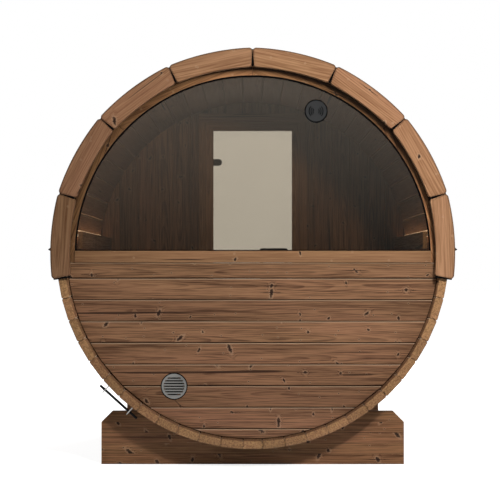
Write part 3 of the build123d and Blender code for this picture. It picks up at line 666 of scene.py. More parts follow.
def wood_group():
    """Sawn and planed softwood, cut from a log whose heart runs beside the board.

    The rings are circles about the heart, which wanders and rises along the board, so they
    show as arches on the faces and as arcs on the ends. Knots push the rings aside.
    """
    if "Sawn Wood" in bpy.data.node_groups:
        return bpy.data.node_groups["Sawn Wood"]
    net, given, result = new_group(
        "Sawn Wood",
        (
            ("Grain", "Vector", None),
            ("Board", "Float", 0.5),
            ("Edge", "Float", 0.0),
            ("End", "Float", 0.0),
            ("Pale", "Color", (0.3, 0.2, 0.1, 1)),
            ("Dark", "Color", (0.1, 0.07, 0.04, 1)),
            ("Rim", "Color", (0.3, 0.2, 0.1, 1)),
            ("End Grain", "Color", (0.3, 0.2, 0.1, 1)),
            ("Knot", "Color", (0.05, 0.03, 0.02, 1)),
            ("Ring Width", "Float", 0.005),
            ("Ring Depth", "Float", 0.4),
            ("Streaks", "Float", 1.0),
            ("Knots", "Float", 0.6),
            ("Spread", "Float", 0.2),
            ("Tone", "Float", 1.0),
        ),
        (("Color", "Color"), ("Roughness", "Float"), ("Height", "Float")),
    )
    chance = net.chance(given["Board"])["Color"]
    first, second, third = net.split(chance)
    shifted = net.vector("MULTIPLY_ADD", chance, (40, 40, 40), given["Grain"])
    along, across, through = net.split(given["Grain"])
    ragged = net.noise(shifted, 110.0, 3.0, output="Color")
    warp = net.vector("SUBTRACT", ragged, (0.5, 0.5, 0.5))

    def drawn(along, across, detail, roughness=0.5):
        """Noise drawn out along the board, by its scales along and across it."""
        place = net.vector("MULTIPLY", shifted, (along, across, across))
        return net.noise(place, 1.0, detail, roughness)

    def spots(length, width, share):
        """Spots in cells of a length and width: offset from the middle, chances, presence."""
        cell = net.vector("MULTIPLY", shifted, (1 / length, 1 / width, 0))
        cells = net.node("ShaderNodeTexVoronoi", voronoi_dimensions="2D")
        net.fed(cells, {"Vector": cell, "Scale": 1.0})
        parts = net.split(cells.outputs["Color"])
        offset = net.vector("SUBTRACT", cell, cells.outputs["Position"])
        offset = net.vector("MULTIPLY", offset, (length, width, 0))
        return offset, parts, net.math("LESS_THAN", parts[0], share)

    # Knots: round ones and long ones that lean across the board
    offset, (one, two, three), present = spots(0.17, 0.085, given["Knots"])
    bent = net.vector("MULTIPLY_ADD", warp, (0.018, 0.018, 0), offset)
    lean = net.node("ShaderNodeVectorRotate", rotation_type="Z_AXIS")
    net.fed(lean, {"Vector": bent, "Angle": net.line(three, 2.0, -1.0)})
    size = net.math("FRACT", net.times(two, 7.0))
    knot_radius = net.line(net.math("POWER", size, 1.4), 0.0045, 0.0045)
    spike = net.line(net.math("POWER", two, 2.0), 2.6, 1.0)
    spot_x, spot_y, _ = net.split(lean.outputs[0])
    reach = net.vector("LENGTH", net.joined(spot_x, net.math("DIVIDE", spot_y, spike), 0.0))
    reach = net.math("DIVIDE", reach, knot_radius)
    heart = net.times(net.fade(reach, 0.85, 1.15), present)
    heart_tone = net.step(net.plus(reach, net.noise(shifted, 300.0)), 0.7, 1.7, 1.0, 0.75)
    halo = net.times(net.fade(reach, 1.15, 2.0), present)
    push = net.times(net.fade(reach, 0.0, 3.6), present)

    # Pin knots, and short cracks beside some knots
    pin_offset, _, pin_present = spots(0.10, 0.045, 0.30)
    pin_offset = net.vector("MULTIPLY_ADD", warp, (0.003, 0.003, 0), pin_offset)
    pin_reach = net.vector("LENGTH", pin_offset)
    pin = net.times(net.fade(pin_reach, 0.0024, 0.0042), pin_present)
    pin = net.times(pin, net.times(given["Knots"], 1.5), clamp=True)
    pin_halo = net.times(net.step(pin_reach, 0.0036, 0.008, 0.5, 0.0), pin_present)
    cut_x, cut_y, _ = net.split(net.vector("MULTIPLY_ADD", warp, (0.02, 0.007, 0), offset))
    cut_x = net.fade(net.math("ABSOLUTE", cut_x), 0.020, 0.085)
    cut_y = net.fade(net.math("ABSOLUTE", cut_y), 0.0006, 0.0026)
    cracked = net.math("LESS_THAN", one, net.times(given["Knots"], 0.2))
    check = net.times(net.times(cut_x, cut_y), cracked)

    # Rings about the heart of the log
    bend = drawn(1.2, 5.0, 2.0)
    side = net.plus(across, net.line(first, 0.09, -0.045))
    rise = net.times(along, net.line(third, 0.05, -0.025))
    depth = net.plus(through, net.line(second, 0.045, 0.012))
    depth = net.plus(depth, rise)
    depth = net.plus(depth, net.line(bend, 0.05, -0.025))
    ring = net.vector("LENGTH", net.joined(0.0, side, depth))
    ring = net.plus(ring, net.times(push, net.times(knot_radius, 1.6)))
    fine = drawn(6.0, 60.0, 3.0, 0.6)
    ring = net.plus(ring, net.times(fine, 0.0018))
    turn = net.math("FRACT", net.math("DIVIDE", ring, given["Ring Width"]))
    late = net.times(net.step(turn, 0.2, 0.86), net.fade(turn, 0.90, 1.0))

    # Streaks and fibres along the board
    streak = drawn(1.5, 40.0, 3.0, 0.62)
    thin = drawn(3.4, 170.0, 2.0, 0.6)
    patch = drawn(1.3, 9.0, 2.0)
    fibre = drawn(16.0, 420.0, 1.0)
    tone = net.times(late, given["Ring Depth"])
    thin = net.step(thin, 0.38, 0.62, -0.27, 0.27)
    streaks = net.plus(net.step(streak, 0.34, 0.70, -0.16, 0.16), thin)
    streaks = net.plus(streaks, net.line(patch, 1.1, -0.55))
    streaks = net.plus(streaks, net.line(fibre, 0.8, -0.4))
    streaks = net.line(streaks, given["Streaks"], 0.26)
    tone = net.plus(tone, streaks, clamp=True)
    wood = net.mix(tone, given["Pale"], given["Dark"])
    split_line = drawn(0.9, 34.0, 1.0)
    crack = net.math("MAXIMUM", net.step(split_line, 0.735, 0.765, 0.0, 0.85), check)
    border = net.mix(0.12, given["Pale"], (0.8, 0.66, 0.48))
    wood = net.mix(net.math("MAXIMUM", net.times(halo, 0.5), pin_halo), wood, border)
    wood = net.mix(crack, wood, given["Knot"])
    wood = net.mix(net.times(heart, heart_tone), wood, given["Knot"])
    wood = net.mix(pin, wood, given["Knot"])

    # Sawn ends, dark edges, pale edges that are painted highlights, and glued seams
    speckle = net.noise(shifted, 120.0, 3.0, 0.75)
    speckle = net.step(speckle, 0.40, 0.62, 0.0, 0.62)
    sawn = net.line(late, 0.35, speckle)
    ends = net.mix(sawn, given["End Grain"], given["Dark"])
    wood = net.mix(given["End"], wood, ends)
    # Edge above 0 mixes in the rim colour, painted shade on the wall boards; below 0 a pale painted
    # highlight
    wood = net.mix(net.times(given["Edge"], 0.8, clamp=True), wood, given["Rim"])
    painted_highlight = net.mix(0.35, given["Pale"], (0.8, 0.64, 0.45))
    wood = net.mix(net.times(given["Edge"], -0.8, clamp=True), wood, painted_highlight)
    seam = net.math("ABSOLUTE", net.math("SUBTRACT", net.math("FRACT", given["Board"]), 0.5))
    seam = net.step(seam, 0.474, 0.492, 0.0, 0.65)
    wood = net.mix(seam, wood, given["Knot"])
    hue = net.line(second, 0.006, 0.488)
    hue = net.line(patch, 0.016, hue)
    spread = net.times(net.math("SUBTRACT", third, 0.5), given["Spread"])
    least_tone = net.math("MAXIMUM", given["Tone"], 0.1)
    value = net.times(net.plus(spread, 1.0), least_tone)
    shade = net.node("ShaderNodeHueSaturation")
    net.fed(shade, {"Hue": hue, "Value": value, "Color": wood})
    net.feed(result["Color"], shade.outputs[0])
    net.feed(result["Roughness"], net.line(tone, 0.14, 0.56))
    relief = net.line(fibre, 0.35, net.times(streak, 0.6))
    relief = net.math("SUBTRACT", relief, net.times(crack, 0.8))
    net.feed(result["Height"], net.plus(relief, net.times(late, 0.3)))
    return net.tree


def brushed_group():
    """Fine brush marks and faint stains on metal, as a tone, a roughness and a height."""
    if "Brushed Metal" in bpy.data.node_groups:
        return bpy.data.node_groups["Brushed Metal"]
    net, given, result = new_group(
        "Brushed Metal",
        (
            ("Place", "Vector", None),
            ("Colour", "Color", (0.5, 0.5, 0.5, 1)),
            ("Roughness", "Float", 0.35),
        ),
        (("Color", "Color"), ("Roughness", "Float"), ("Height", "Float")),
    )
    stain = net.noise(given["Place"], 9.0, 3.0, 0.6)
    brush = net.noise(net.vector("MULTIPLY", given["Place"], (900, 60, 900)), 1.0, 1.0)
    dulled = net.mix(0.28, given["Colour"], (0.02, 0.02, 0.02))
    net.feed(result["Color"], net.mix(net.step(stain, 0.35, 0.75), given["Colour"], dulled))
    net.feed(result["Roughness"], net.plus(given["Roughness"], net.line(stain, 0.25, -0.1)))
    net.feed(result["Height"], brush)
    return net.tree


def new_material(name):
    """A new material, its node net and its Principled node."""
    material = bpy.data.materials.new(name)
    material.use_nodes = True
    net = Net(material.node_tree)
    principled = next(node for node in net.tree.nodes if node.type == "BSDF_PRINCIPLED")
    return material, net, principled


def once(maker):
    """Gives back the material of a name if it is there, and makes it otherwise."""

    @wraps(maker)
    def found_or_made(name, *values, **settings):
        return bpy.data.materials.get(name) or maker(name, *values, **settings)

    return found_or_made


@once
def wood(name, pale, dark, rim=None, ring_width=0.006, ring_depth=0.4, streaks=1.0, knots=0.5,
         spread=0.24):
    """A material of sawn wood in two tones, whose edges have a colour of their own."""
    material, net, principled = new_material(name)
    group = net.node("ShaderNodeGroup", node_tree=wood_group())
    values = {
        "Grain": net.attribute("grain", "Vector"),
        "Pale": opaque(pale),
        "Dark": opaque(dark),
        "Rim": opaque(rim or pale),
        "End Grain": opaque(colours().end_grain),
        "Knot": opaque(colours().knot),
        "Ring Width": ring_width,
        "Ring Depth": ring_depth,
        "Streaks": streaks,
        "Knots": knots,
        "Spread": spread,
    }
    net.fed(group, values | {label.title(): net.attribute(label) for label in LABELS})
    finish = {
        "Base Color": group.outputs["Color"],
        "Roughness": group.outputs["Roughness"],
        "Normal": net.bump(group.outputs["Height"], 0.0007, 0.6),
        "Specular IOR Level": 0.15,
    }
    net.fed(principled, finish)
    return material


@once
def metal(name, tint, roughness, metallic=1.0):
    """A material of brushed or coated metal."""
    material, net, principled = new_material(name)
    group = net.node("ShaderNodeGroup", node_tree=brushed_group())
    net.fed(group, {"Place": net.place(), "Colour": opaque(tint), "Roughness": roughness})
    finish = {
        "Base Color": group.outputs["Color"],
        "Roughness": group.outputs["Roughness"],
        "Normal": net.bump(group.outputs["Height"], 0.00002),
        "Metallic": metallic,
    }
    net.fed(principled, finish)
    return material


@once
def moulded(name, tint, roughness, shine=0.3):
    """A material of moulded plastic or rubber, with a fine grain."""
    material, net, principled = new_material(name)
    place = net.place()
    grain = net.noise(place, 700.0)
    finish = {
        "Base Color": net.mix(net.noise(place, 14.0), tint, shaded(tint, 0.75)),
        "Roughness": net.line(grain, 0.15, roughness),
        "Normal": net.bump(grain, 0.0002, 0.4),
        "Specular IOR Level": shine,
    }
    net.fed(principled, finish)
    return material


def rubber(name, tint, roughness=0.8):
    """Dull black rubber or gauze."""
    return moulded(name, tint, roughness, 0.05)


@once
def glass(name, tint, shade):
    """Tinted glass that lets lamps through: shade is what is left of their light."""
    material, net, principled = new_material(name)
    finish = {
        "Base Color": net.mix(net.noise(net.place(), 3.0), tint, shaded(tint, 0.96)),
        "Roughness": 0.0,
        "IOR": 1.5,
        "Transmission Weight": 1.0,
    }
    net.fed(principled, finish)
    clear = net.fed(net.node("ShaderNodeBsdfTransparent"), {"Color": opaque(shade)})
    in_shadow = net.node("ShaderNodeLightPath").outputs["Is Shadow Ray"]
    mixed = net.node("ShaderNodeMixShader")
    net.show(net.fed(mixed, (in_shadow, principled.outputs[0], clear.outputs[0])).outputs[0])
    return material


def glowing(name, tint, strength):
    """A light diffuser, or a lip of painted light, that glows a little unevenly, and not at its two
    closed ends.
    """
    material, net, principled = new_material(name)
    _, along, _ = net.split(net.place())
    beat = net.math("SINE", net.times(along, 2 * math.pi / 0.0166))
    near, far = low("light_strips", "y") + 0.06, high("light_strips", "y") - 0.02
    within = net.times(net.step(along, near, near + 0.002), net.fade(along, far - 0.002, far))
    tone = net.times(net.line(beat, 0.1, 0.9), within)
    finish = {
        "Emission Color": net.mix(tone, (0, 0, 0), tint),
        "Emission Strength": strength,
        "Base Color": (0.8, 0.76, 0.7, 1),
    }
    net.fed(principled, finish)
    return material


def shingled(name, tint):
    """Roof covering strewn with stone chips, each tab a shade of its own."""
    material, net, principled = new_material(name)
    grain = net.attribute("grain", "Vector")
    chance = net.chance(net.attribute("board"))
    chips = net.fed(net.node("ShaderNodeTexVoronoi"), {"Vector": grain, "Scale": 420.0})
    cell, _, _ = net.split(chips.outputs["Color"])
    tone = net.line(cell, 0.6, net.times(chance[0], 0.35))
    tone = net.plus(tone, net.line(net.noise(grain, 11.0, 3.0), 0.4, -0.2), clamp=True)
    finish = {
        "Base Color": net.mix(tone, shaded(tint, 0.45), shaded(tint, 1.75)),
        "Roughness": net.line(cell, 0.15, 0.8),
        "Normal": net.bump(chips.outputs["Distance"], 0.0008, 0.7),
    }
    net.fed(principled, finish)
    return material


def wall_wood():
    """Knotty boards, whose dark bevels are painted shade."""
    return wood("Wall wood", colours().wall_pale, colours().wall_dark, rim=colours().knot)


def stave_wood():
    """Staves with a few knots."""
    tones = (colours().stave_pale, colours().stave_dark, colours().knot)
    return wood("Stave wood", *tones, streaks=0.6, knots=0.25, spread=0.26)


def frame_wood():
    """Nearly clear wood of the straight frames."""
    tones = (colours().frame_pale, colours().frame_dark)
    return wood("Frame wood", *tones, ring_width=0.0045, streaks=0.7, knots=0.08, spread=0.10)


def bench_wood():
    """Pale wood of the floor and the backrests."""
    return wood("Bench wood", colours().bench_pale, colours().bench_dark, knots=0.35)


def dress(material, slot, *nodes):
    """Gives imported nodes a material, in the place of the one that they came with."""
    for name in nodes:
        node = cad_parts[name]
        for held in node.material_slots:
            held.material = material
        if not node.material_slots:
            raise RuntimeError(f"{name} has no material slot")


# --- Operators --------------------------------------------------------------------------


class SAUNA_OT_staves(bpy.types.Operator):
    """Staves with a round tongue on one side and a hollow on the other"""

    bl_idname = "sauna.staves"
    bl_label = "Staves"

    def outline(self, half_angle):
        """Across a stave: outwards against sideways, about the middle of its depth.

        Both sides follow the radius, and are shifted by the bead's depth times the squared
        cosine of the place inside the bead, so that a tongue fits its neighbour's hollow. The
        chamfers are marked as dark outside, and as pale inside, a painted highlight.
        """
        s = sizes()
        half = s.stave_thickness / 2
        bead = np.linspace(0.04, 1, 5) * s.bead_half_width
        rise = np.append(bead, half - s.stave_chamfer)
        wave = np.cos(math.pi / 2 * rise / s.bead_half_width) ** 2
        shift = np.where(rise < s.bead_half_width, s.bead_depth * wave, 0)
        slope = math.tan(math.radians(half_angle))

        def side(direction, out):
            """One side of the upper or lower half, from the middle of its depth."""
            width = (RADIUS - half + out * rise) * slope - s.board_gap / 2
            flat = (RADIUS - half + out * half) * slope - s.board_gap / 2 - s.stave_chamfer
            face = direction * np.array((flat, flat - 0.0012))
            across = np.concatenate((direction * width + shift, face))
            return np.stack((out * np.append(rise, (half, half)), across), axis=1)

        quarters = (side(-1, 1), side(1, 1)[::-1], side(1, -1), side(-1, -1)[::-1])
        mark = np.zeros((2, 2 * len(quarters[0])))
        # Dark outer chamfers, and pale inner ones that are a painted highlight
        mark[:, (5, 6, 9, 10)] = ((0.7, 0.7, 0.7, 0.7), (-1.0, -1.0, -0.6, -0.6))
        return np.concatenate(quarters), mark.ravel()

    def execute(self, context):
        s = sizes()
        pitch = (360 - s.closing_angle) / (s.stave_count - 1)
        per_node = s.stave_count / len(STAVE_NODES)
        levels = rounded_levels(FRONT, BACK, STAVE_END)
        for group, node in enumerate(STAVE_NODES):
            boards = Boards(first_number=100 + 10 * group)
            for number in range(round(per_node * (group - 0.5)), round(per_node * (group + 0.5))):
                index = number % s.stave_count
                half = s.closing_angle / 2 if index == 0 else pitch / 2
                turn = 270 if index == 0 else 270 + s.closing_angle / 2 + pitch * (index - 0.5)
                out, sideways = turned(turn)
                outline, mark = self.outline(half)
                # Painted highlight: the pale inner chamfers are strongest on the barrel's sides
                mark = np.where(mark < 0, mark * (0.35 + 1.2 * out[0] ** 2), mark)
                to_frame = round_middle(out, sideways, RADIUS - s.stave_thickness / 2, AXIS_Z)
                axes = ((0, 1, 0), sideways, out)
                origin = out * RADIUS + (0, 0, AXIS_Z)
                # Painted shade: the staves are toned darker towards the bottom of the barrel
                tone = 1 - 0.3 * max(0, -out[2]) ** 2
                boards.carry(outline, levels, to_frame, axes, origin, mark, sawn=1, tone=tone)
            boards.piece(node + "_boards", stave_wood(), "stave_wood", node)
        return {"FINISHED"}


class SAUNA_OT_cradles(bpy.types.Operator):
    """Two glued boards on edge with a saddle for the barrel"""

    bl_idname = "sauna.cradles"
    bl_label = "Cradles"

    def outline(self, node):
        """Along the foot and back over the top, which is the lowest of three curves.

        They are the top edge, the line across the corner and the saddle's circle.
        """
        s = sizes()
        half = high(node, "x")
        top = high(node, "z")
        saddle = RADIUS / math.cos(math.radians(180 / s.stave_count)) + FIT
        lip = math.sqrt(saddle**2 - (AXIS_Z - top) ** 2)
        arc = lip * np.sin(np.linspace(-math.pi / 2, math.pi / 2, 41))
        side = np.array((-half, -half + s.cradle_corner))
        x = np.concatenate((side, arc, -side[::-1]))
        z = np.minimum(top, top - s.cradle_corner + half - np.abs(x))
        inside = np.abs(x) < lip
        z[inside] = AXIS_Z - np.sqrt(saddle**2 - x[inside] ** 2)
        upper = np.stack((x, z - AXIS_Z), axis=1)
        lower = np.stack((x[::-1], np.full_like(x, -AXIS_Z)), axis=1)
        return np.concatenate((upper, lower))

    def execute(self, context):
        s, c = sizes(), colours()
        material = wood("Cradle wood", c.cradle_pale, c.cradle_dark, spread=0.16)
        for first, node in ((300, "cradle_window_end"), (310, "cradle_door_end")):
            layer_height = high(node, "z") / s.cradle_layers
            levels = rounded_levels(low(node, "y"), high(node, "y"), s.edge_radius)
            boards = Boards()
            boards.carry(self.outline(node), levels, origin=(0, low(node, "y"), 0),
                         layer=lambda points: first + points[..., 2] / layer_height)
            boards.piece(node + "_beam", material, "cradle_wood", node)
        return {"FINISHED"}


class SAUNA_OT_window_wall(bpy.types.Operator):
    """Level boards under the window, with the air duct cut through them"""

    bl_idname = "sauna.window_wall"
    bl_label = "Window wall"

    def joints(self):
        """Heights of the joints above the axis, from the sill down to the staves."""
        s = sizes()
        top = high("window_wall_boards", "z") - AXIS_Z
        wall_radius = RADIUS - s.stave_thickness + s.groove_depth
        below = np.arange(top - s.top_wall_board, WALL_FOOT - wall_radius, -s.wall_board)
        return np.concatenate(((top,), below, (WALL_FOOT - wall_radius,)))

    def duct_side(self, bottom, top):
        """1 where the air duct cuts a board's lower edge, -1 its upper edge, and 0 neither."""
        centre_z = centre_of("wall_vent_grille").z - AXIS_Z
        for side, edge in ((1, bottom), (-1, top)):
            if abs(edge - centre_z) < sizes().vent_duct / 2:
                return side
        return 0

    def notched(self, bottom, top, chord, side, radius):
        """A board with half of the air duct cut from one of its long edges.

        Inside the duct the edge follows the circle round the middle of the grille. Both long
        edges are divided in the same shares, from one end of the board to the other.
        """
        centre = centre_of("wall_vent_grille")
        centre_z = centre.z - AXIS_Z
        cut, whole = (bottom, top)[::side]
        half = float(chord(cut))
        foot = math.asin(side * (cut - centre_z) / radius)
        turn = np.linspace(foot, math.pi - foot, 25)
        arc = centre.x - radius * np.cos(turn)
        before = np.linspace(-half, arc[0], 4)[:-1]
        after = np.linspace(arc[-1], half, 6)[1:]
        x = np.concatenate((before, arc, after))
        rise = centre_z + side * radius * np.sin(turn)
        z = np.concatenate((np.full_like(before, cut), rise, np.full_like(after, cut)))
        cut_edge = np.stack((x, z), axis=1)
        whole_edge = np.stack((x / half * chord(whole), np.full_like(x, whole)), axis=1)
        upper, lower = (whole_edge, cut_edge)[::side]
        return np.concatenate((upper, lower[::-1]))

    def rings(self, bottom, top, opening):
        """A board's outlines from its face to its back, and the marks on their edges.

        opening is what its lower and its upper joint stand open in front of the tongue. The
        face stops short of the staves, and the tongue behind it fills their groove. The upper
        bevel, which faces up, is marked pale as a painted highlight; the lower bevel, which faces
        down, and the sides deeper in the joints and in the shadow gap are marked dark as painted
        shade.
        """
        s = sizes()
        bevel, rounding = s.wall_bevel, s.edge_radius
        shoulder = RADIUS - s.stave_thickness - s.wall_shadow_gap
        groove = RADIUS - s.stave_thickness + s.groove_depth
        back = WINDOW_WALL_IN - WINDOW_WALL_OUT
        # Pale upper marks are a painted highlight, and the dark marks are painted shade
        # Depth, what is off the long edges, the ends' circle, and the upper and lower marks
        levels = (
            (0.0, bevel, shoulder - 0.0008, 0.0, 0.0),
            (0.4 * bevel, 0.6 * bevel, shoulder, -0.8, 0.7),
            (0.9 * bevel, 0.1 * bevel, shoulder, -0.8, 1.0),
            (bevel, 0.0, shoulder, 1.0, 1.0),
            (3 * bevel, 0.0, shoulder, 1.0, 1.0),
            (3 * bevel + 0.0004, 0.0, groove, 1.0, 1.0),
            (back - rounding, 0.0, groove, 0.0, 0.0),
            (back, rounding, groove - rounding, 0.0, 0.0),
        )
        side = self.duct_side(bottom, top)
        rings = []
        for depth, drawn_in, radius, *_ in levels:
            chord = chord_of(radius)
            low_open, high_open = opening if depth <= 3 * bevel else (0, 0)
            low_edge = max(bottom + drawn_in + low_open, WALL_FOOT - radius)
            high_edge = top - drawn_in - high_open
            if side:
                flat = self.notched(low_edge, high_edge, chord, side, s.vent_duct + drawn_in)
            else:
                flat = trimmed_strip(low_edge, high_edge, lambda z: -chord(z), chord)
            rings.append(across_barrel(flat[:, 0], flat[:, 1], WINDOW_WALL_OUT + depth))
        return np.array(rings), np.repeat(np.array(levels)[:, 3:], len(flat) // 2, axis=1)

    def execute(self, context):
        s = sizes()
        boards = Boards(first_number=200)
        joints = self.joints()
        open_joints = s.wall_opening * (0.15 + ((0.618 * np.arange(len(joints)) + 0.15) % 1) ** 2)
        openings = zip(open_joints[1:], open_joints)
        edges = zip(joints - s.board_gap / 2, joints[1:] + s.board_gap / 2)
        for (top, bottom), opening in zip(edges, openings):
            rings, marks = self.rings(bottom, top, opening)
            middle = (0, WINDOW_WALL_OUT, AXIS_Z + (top + bottom) / 2)
            boards.add(rings, ALONG_X, middle, marks)
        boards.piece("window_wall_planks", wall_wood(), "wall_wood", "window_wall_boards")
        return {"FINISHED"}


class SAUNA_OT_window_frame(bpy.types.Operator):
    """The sill and the curved frame of the window"""

    bl_idname = "sauna.window_frame"
    bl_label = "Window frame"

    def sill(self):
        """A rounded bar from side to side."""
        least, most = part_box("window_sill")
        middle = centre_of("window_sill")
        outline, mark = rounded_rectangle(most.y - least.y, most.z - least.z, 0.004)
        levels = rounded_levels(least.x, most.x, 0.0015)

        def to_frame(y, z, x):
            """From across the bar to the frame."""
            return np.stack((np.full_like(y, x), y + middle.y, z + middle.z), axis=1)

        boards = Boards(first_number=400)
        boards.carry(outline, levels, to_frame, ALONG_X, middle, mark, sawn=1)
        boards.piece("window_sill_bar", frame_wood(), "frame_wood", "window_sill")

    def tone(self, outer_turn, inner_turn):
        """Tones round a curved piece: a mean, and powers of a cosine and a sine of the angle.

        They paint light on it, paler low on the right and near the top. It darkens towards the outer
        edge, most on the right and at the top: a painted shadow of the arch boards.
        """
        turn = np.concatenate((outer_turn, inner_turn[::-1]))
        # Painted light: paler low on the right and near the top
        painted_light_low_right = np.maximum(np.cos(turn - math.radians(8)), 0) ** 20
        top = np.maximum(np.sin(turn - math.radians(8)), 0) ** 12
        tone = 0.56 + 1.2 * painted_light_low_right + 0.8 * top
        # Painted shadow of the arch boards: the outer edge's tone, below zero on the right and at the
        # top
        shade = np.interp(np.degrees(outer_turn), (100, 125), (-0.6, 0.4))
        return tone * np.concatenate((shade, np.full(len(inner_turn), 1.12)))

    def execute(self, context):
        self.sill()
        s, c = sizes(), colours()
        outer = RADIUS - s.stave_thickness + s.groove_depth
        inner = RADIUS - s.stave_thickness - s.ring_width
        foot = low("window_frame", "z") - AXIS_Z
        starts = [math.asin(foot / radius) for radius in (outer, inner)]
        cuts = [np.linspace(start, math.pi - start, s.ring_pieces + 1) for start in starts]
        levels = rounded_levels(WINDOW_WALL_OUT, WINDOW_WALL_IN, s.edge_radius)
        boards = Boards(first_number=410)
        for piece in range(s.ring_pieces):
            outer_turn, inner_turn = (np.linspace(cut[piece], cut[piece + 1], 33) for cut in cuts)
            edges = (on_arc(outer, outer_turn), on_arc(inner, inner_turn)[::-1])
            outline = inset(np.concatenate(edges), s.board_gap / 2)
            out, sideways = turned(math.degrees(outer_turn.mean()))
            origin = out * (outer + inner) / 2 + (0, WINDOW_WALL_OUT, AXIS_Z)
            boards.carry(outline, levels, across_barrel, (sideways, out, (0, 1, 0)), origin,
                         tone=self.tone(outer_turn, inner_turn))
        look = {"streaks": 1.2, "knots": 0.1, "spread": 0.04}
        material = wood("Curved frame wood", c.ring_pale, c.ring_dark, **look)
        boards.piece("window_frame_ring", material, "frame_wood", "window_frame")
        return {"FINISHED"}


class SAUNA_OT_window_glass(bpy.types.Operator):
    """The tinted glass, its seal and the two vents of the window wall"""

    bl_idname = "sauna.window_glass"
    bl_label = "Window glass and vents"

    def seal_lip(self, material):
        """A rounded rubber lip over the edge of the glass, from sill to sill."""
        middle = high("window_seal", "z") - AXIS_Z - sizes().seal_lip / 2
        foot = low("window_seal", "z") + 0.001 - AXIS_Z
        start = math.asin(foot / middle)
        section, _ = rounded_rectangle(sizes().seal_lip, 0.005, 0.002)
        depth = (section[:, 1:] + low("window_glass", "y") - 0.0025) * (0, 1, 0)
        turns = np.degrees(np.linspace(start, math.pi - start, 97))
        rings = [(section[:, :1] + middle) * turned(turn)[0] + depth for turn in turns]
        lip = Boards()
        lip.add(np.array(rings) + (0, 0, AXIS_Z), np.eye(3))
        lip.piece("window_seal_lip", material, "seal_rubber")

    def vent_rings(self):
        """Black rims round both vents and black sheets behind their slots: painted shadow round the
        vents and painted shade in the slots.
        """
        vent, grille = "window_vent", "wall_vent_grille"
        vent_radius = (high(vent, "x") - low(vent, "x")) / 2
        grille_radius = (high(grille, "x") - low(grille, "x")) / 2
        rim = rubber("Vent rim", colours().seal)
        screen = rubber("Vent screen", srgb(6, 6, 6), 0.9)
        black = rubber("Grille screen", srgb(10, 10, 10), 0.9)
        # The rims and the ring round the grille are painted shadow, and the sheets behind the slots
        # painted shade
        # Name, node, material, width and depth, rounding, and the places across and behind
        rings = (
            ("window_vent_rim", vent, rim, (0.006, 0.0026), 0.0008,
             (vent_radius - 0.0032, -0.0008)),
            ("window_vent_screen", vent, screen, (0.6 * vent_radius, 0.0008), 0.0003,
             (0.5 * vent_radius, 0.0062)),
            ("wall_vent_screen", grille, black, (0.7 * grille_radius, 0.0008), 0.0003,
             (0.36 * grille_radius, 0.0044)),
            ("wall_vent_gasket", grille, black, (0.008, 0.003), 0.001,
             (grille_radius + 0.0012, WINDOW_WALL_OUT - low(grille, "y") - 0.0012)),
        )
        for ring in rings:
            ring_round(*ring)

    def execute(self, context):
        c = colours()
        pane = glass("Window glass", c.window_tint, (0.70, 0.65, 0.57))
        dress(pane, "tinted_glass", "window_glass")
        seal = rubber("Seal rubber", c.seal)
        dress(seal, "seal_rubber", "window_seal")
        self.seal_lip(seal)
        dress(moulded("Vent plastic", c.vent, 0.45), "vent_plastic", "window_vent")
        dress(metal("Grille metal", c.grille, 0.42, 0.7), "grille_metal", "wall_vent_grille")
        self.vent_rings()
        return {"FINISHED"}


class SAUNA_OT_door_wall(bpy.types.Operator):
    """Upright boards round the doorway"""

    bl_idname = "sauna.door_wall"
    bl_label = "Door wall"

    def execute(self, context):
        s = sizes()
        chord = chord_of(RADIUS - s.stave_thickness + s.groove_depth)
        levels = rounded_levels(DOOR_WALL_IN, DOOR_WALL_OUT, s.door_bevel, 1)
        levels[2] = 0
        total = 2 * round(RADIUS / s.wall_board) + 3
        for first, part in ((500, "left"), (530, "right"), (560, "over"), (590, "under")):
            node = "door_wall_" + part
            least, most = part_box(node)
            bottom, top = least.z - AXIS_Z, most.z - AXIS_Z
            boards = Boards(first)
            for number in range(total):
                left = s.wall_board * (number - total / 2)
                near = max(left, least.x) + s.board_gap / 2
                far = min(left + s.wall_board, most.x) - s.board_gap / 2
                if far - near < 3 * s.door_bevel:
                    continue
                ends = (lambda x: np.maximum(-chord(x), bottom), lambda x: np.minimum(chord(x), top))
                outline = trimmed_strip(near, far, *ends)[:, ::-1]
                origin = ((near + far) / 2, DOOR_WALL_IN, AXIS_Z)
                boards.carry(outline, levels, axes=ALONG_Z, origin=origin)
            boards.piece(node + "_boards", wall_wood(), "wall_wood", node)
        return {"FINISHED"}


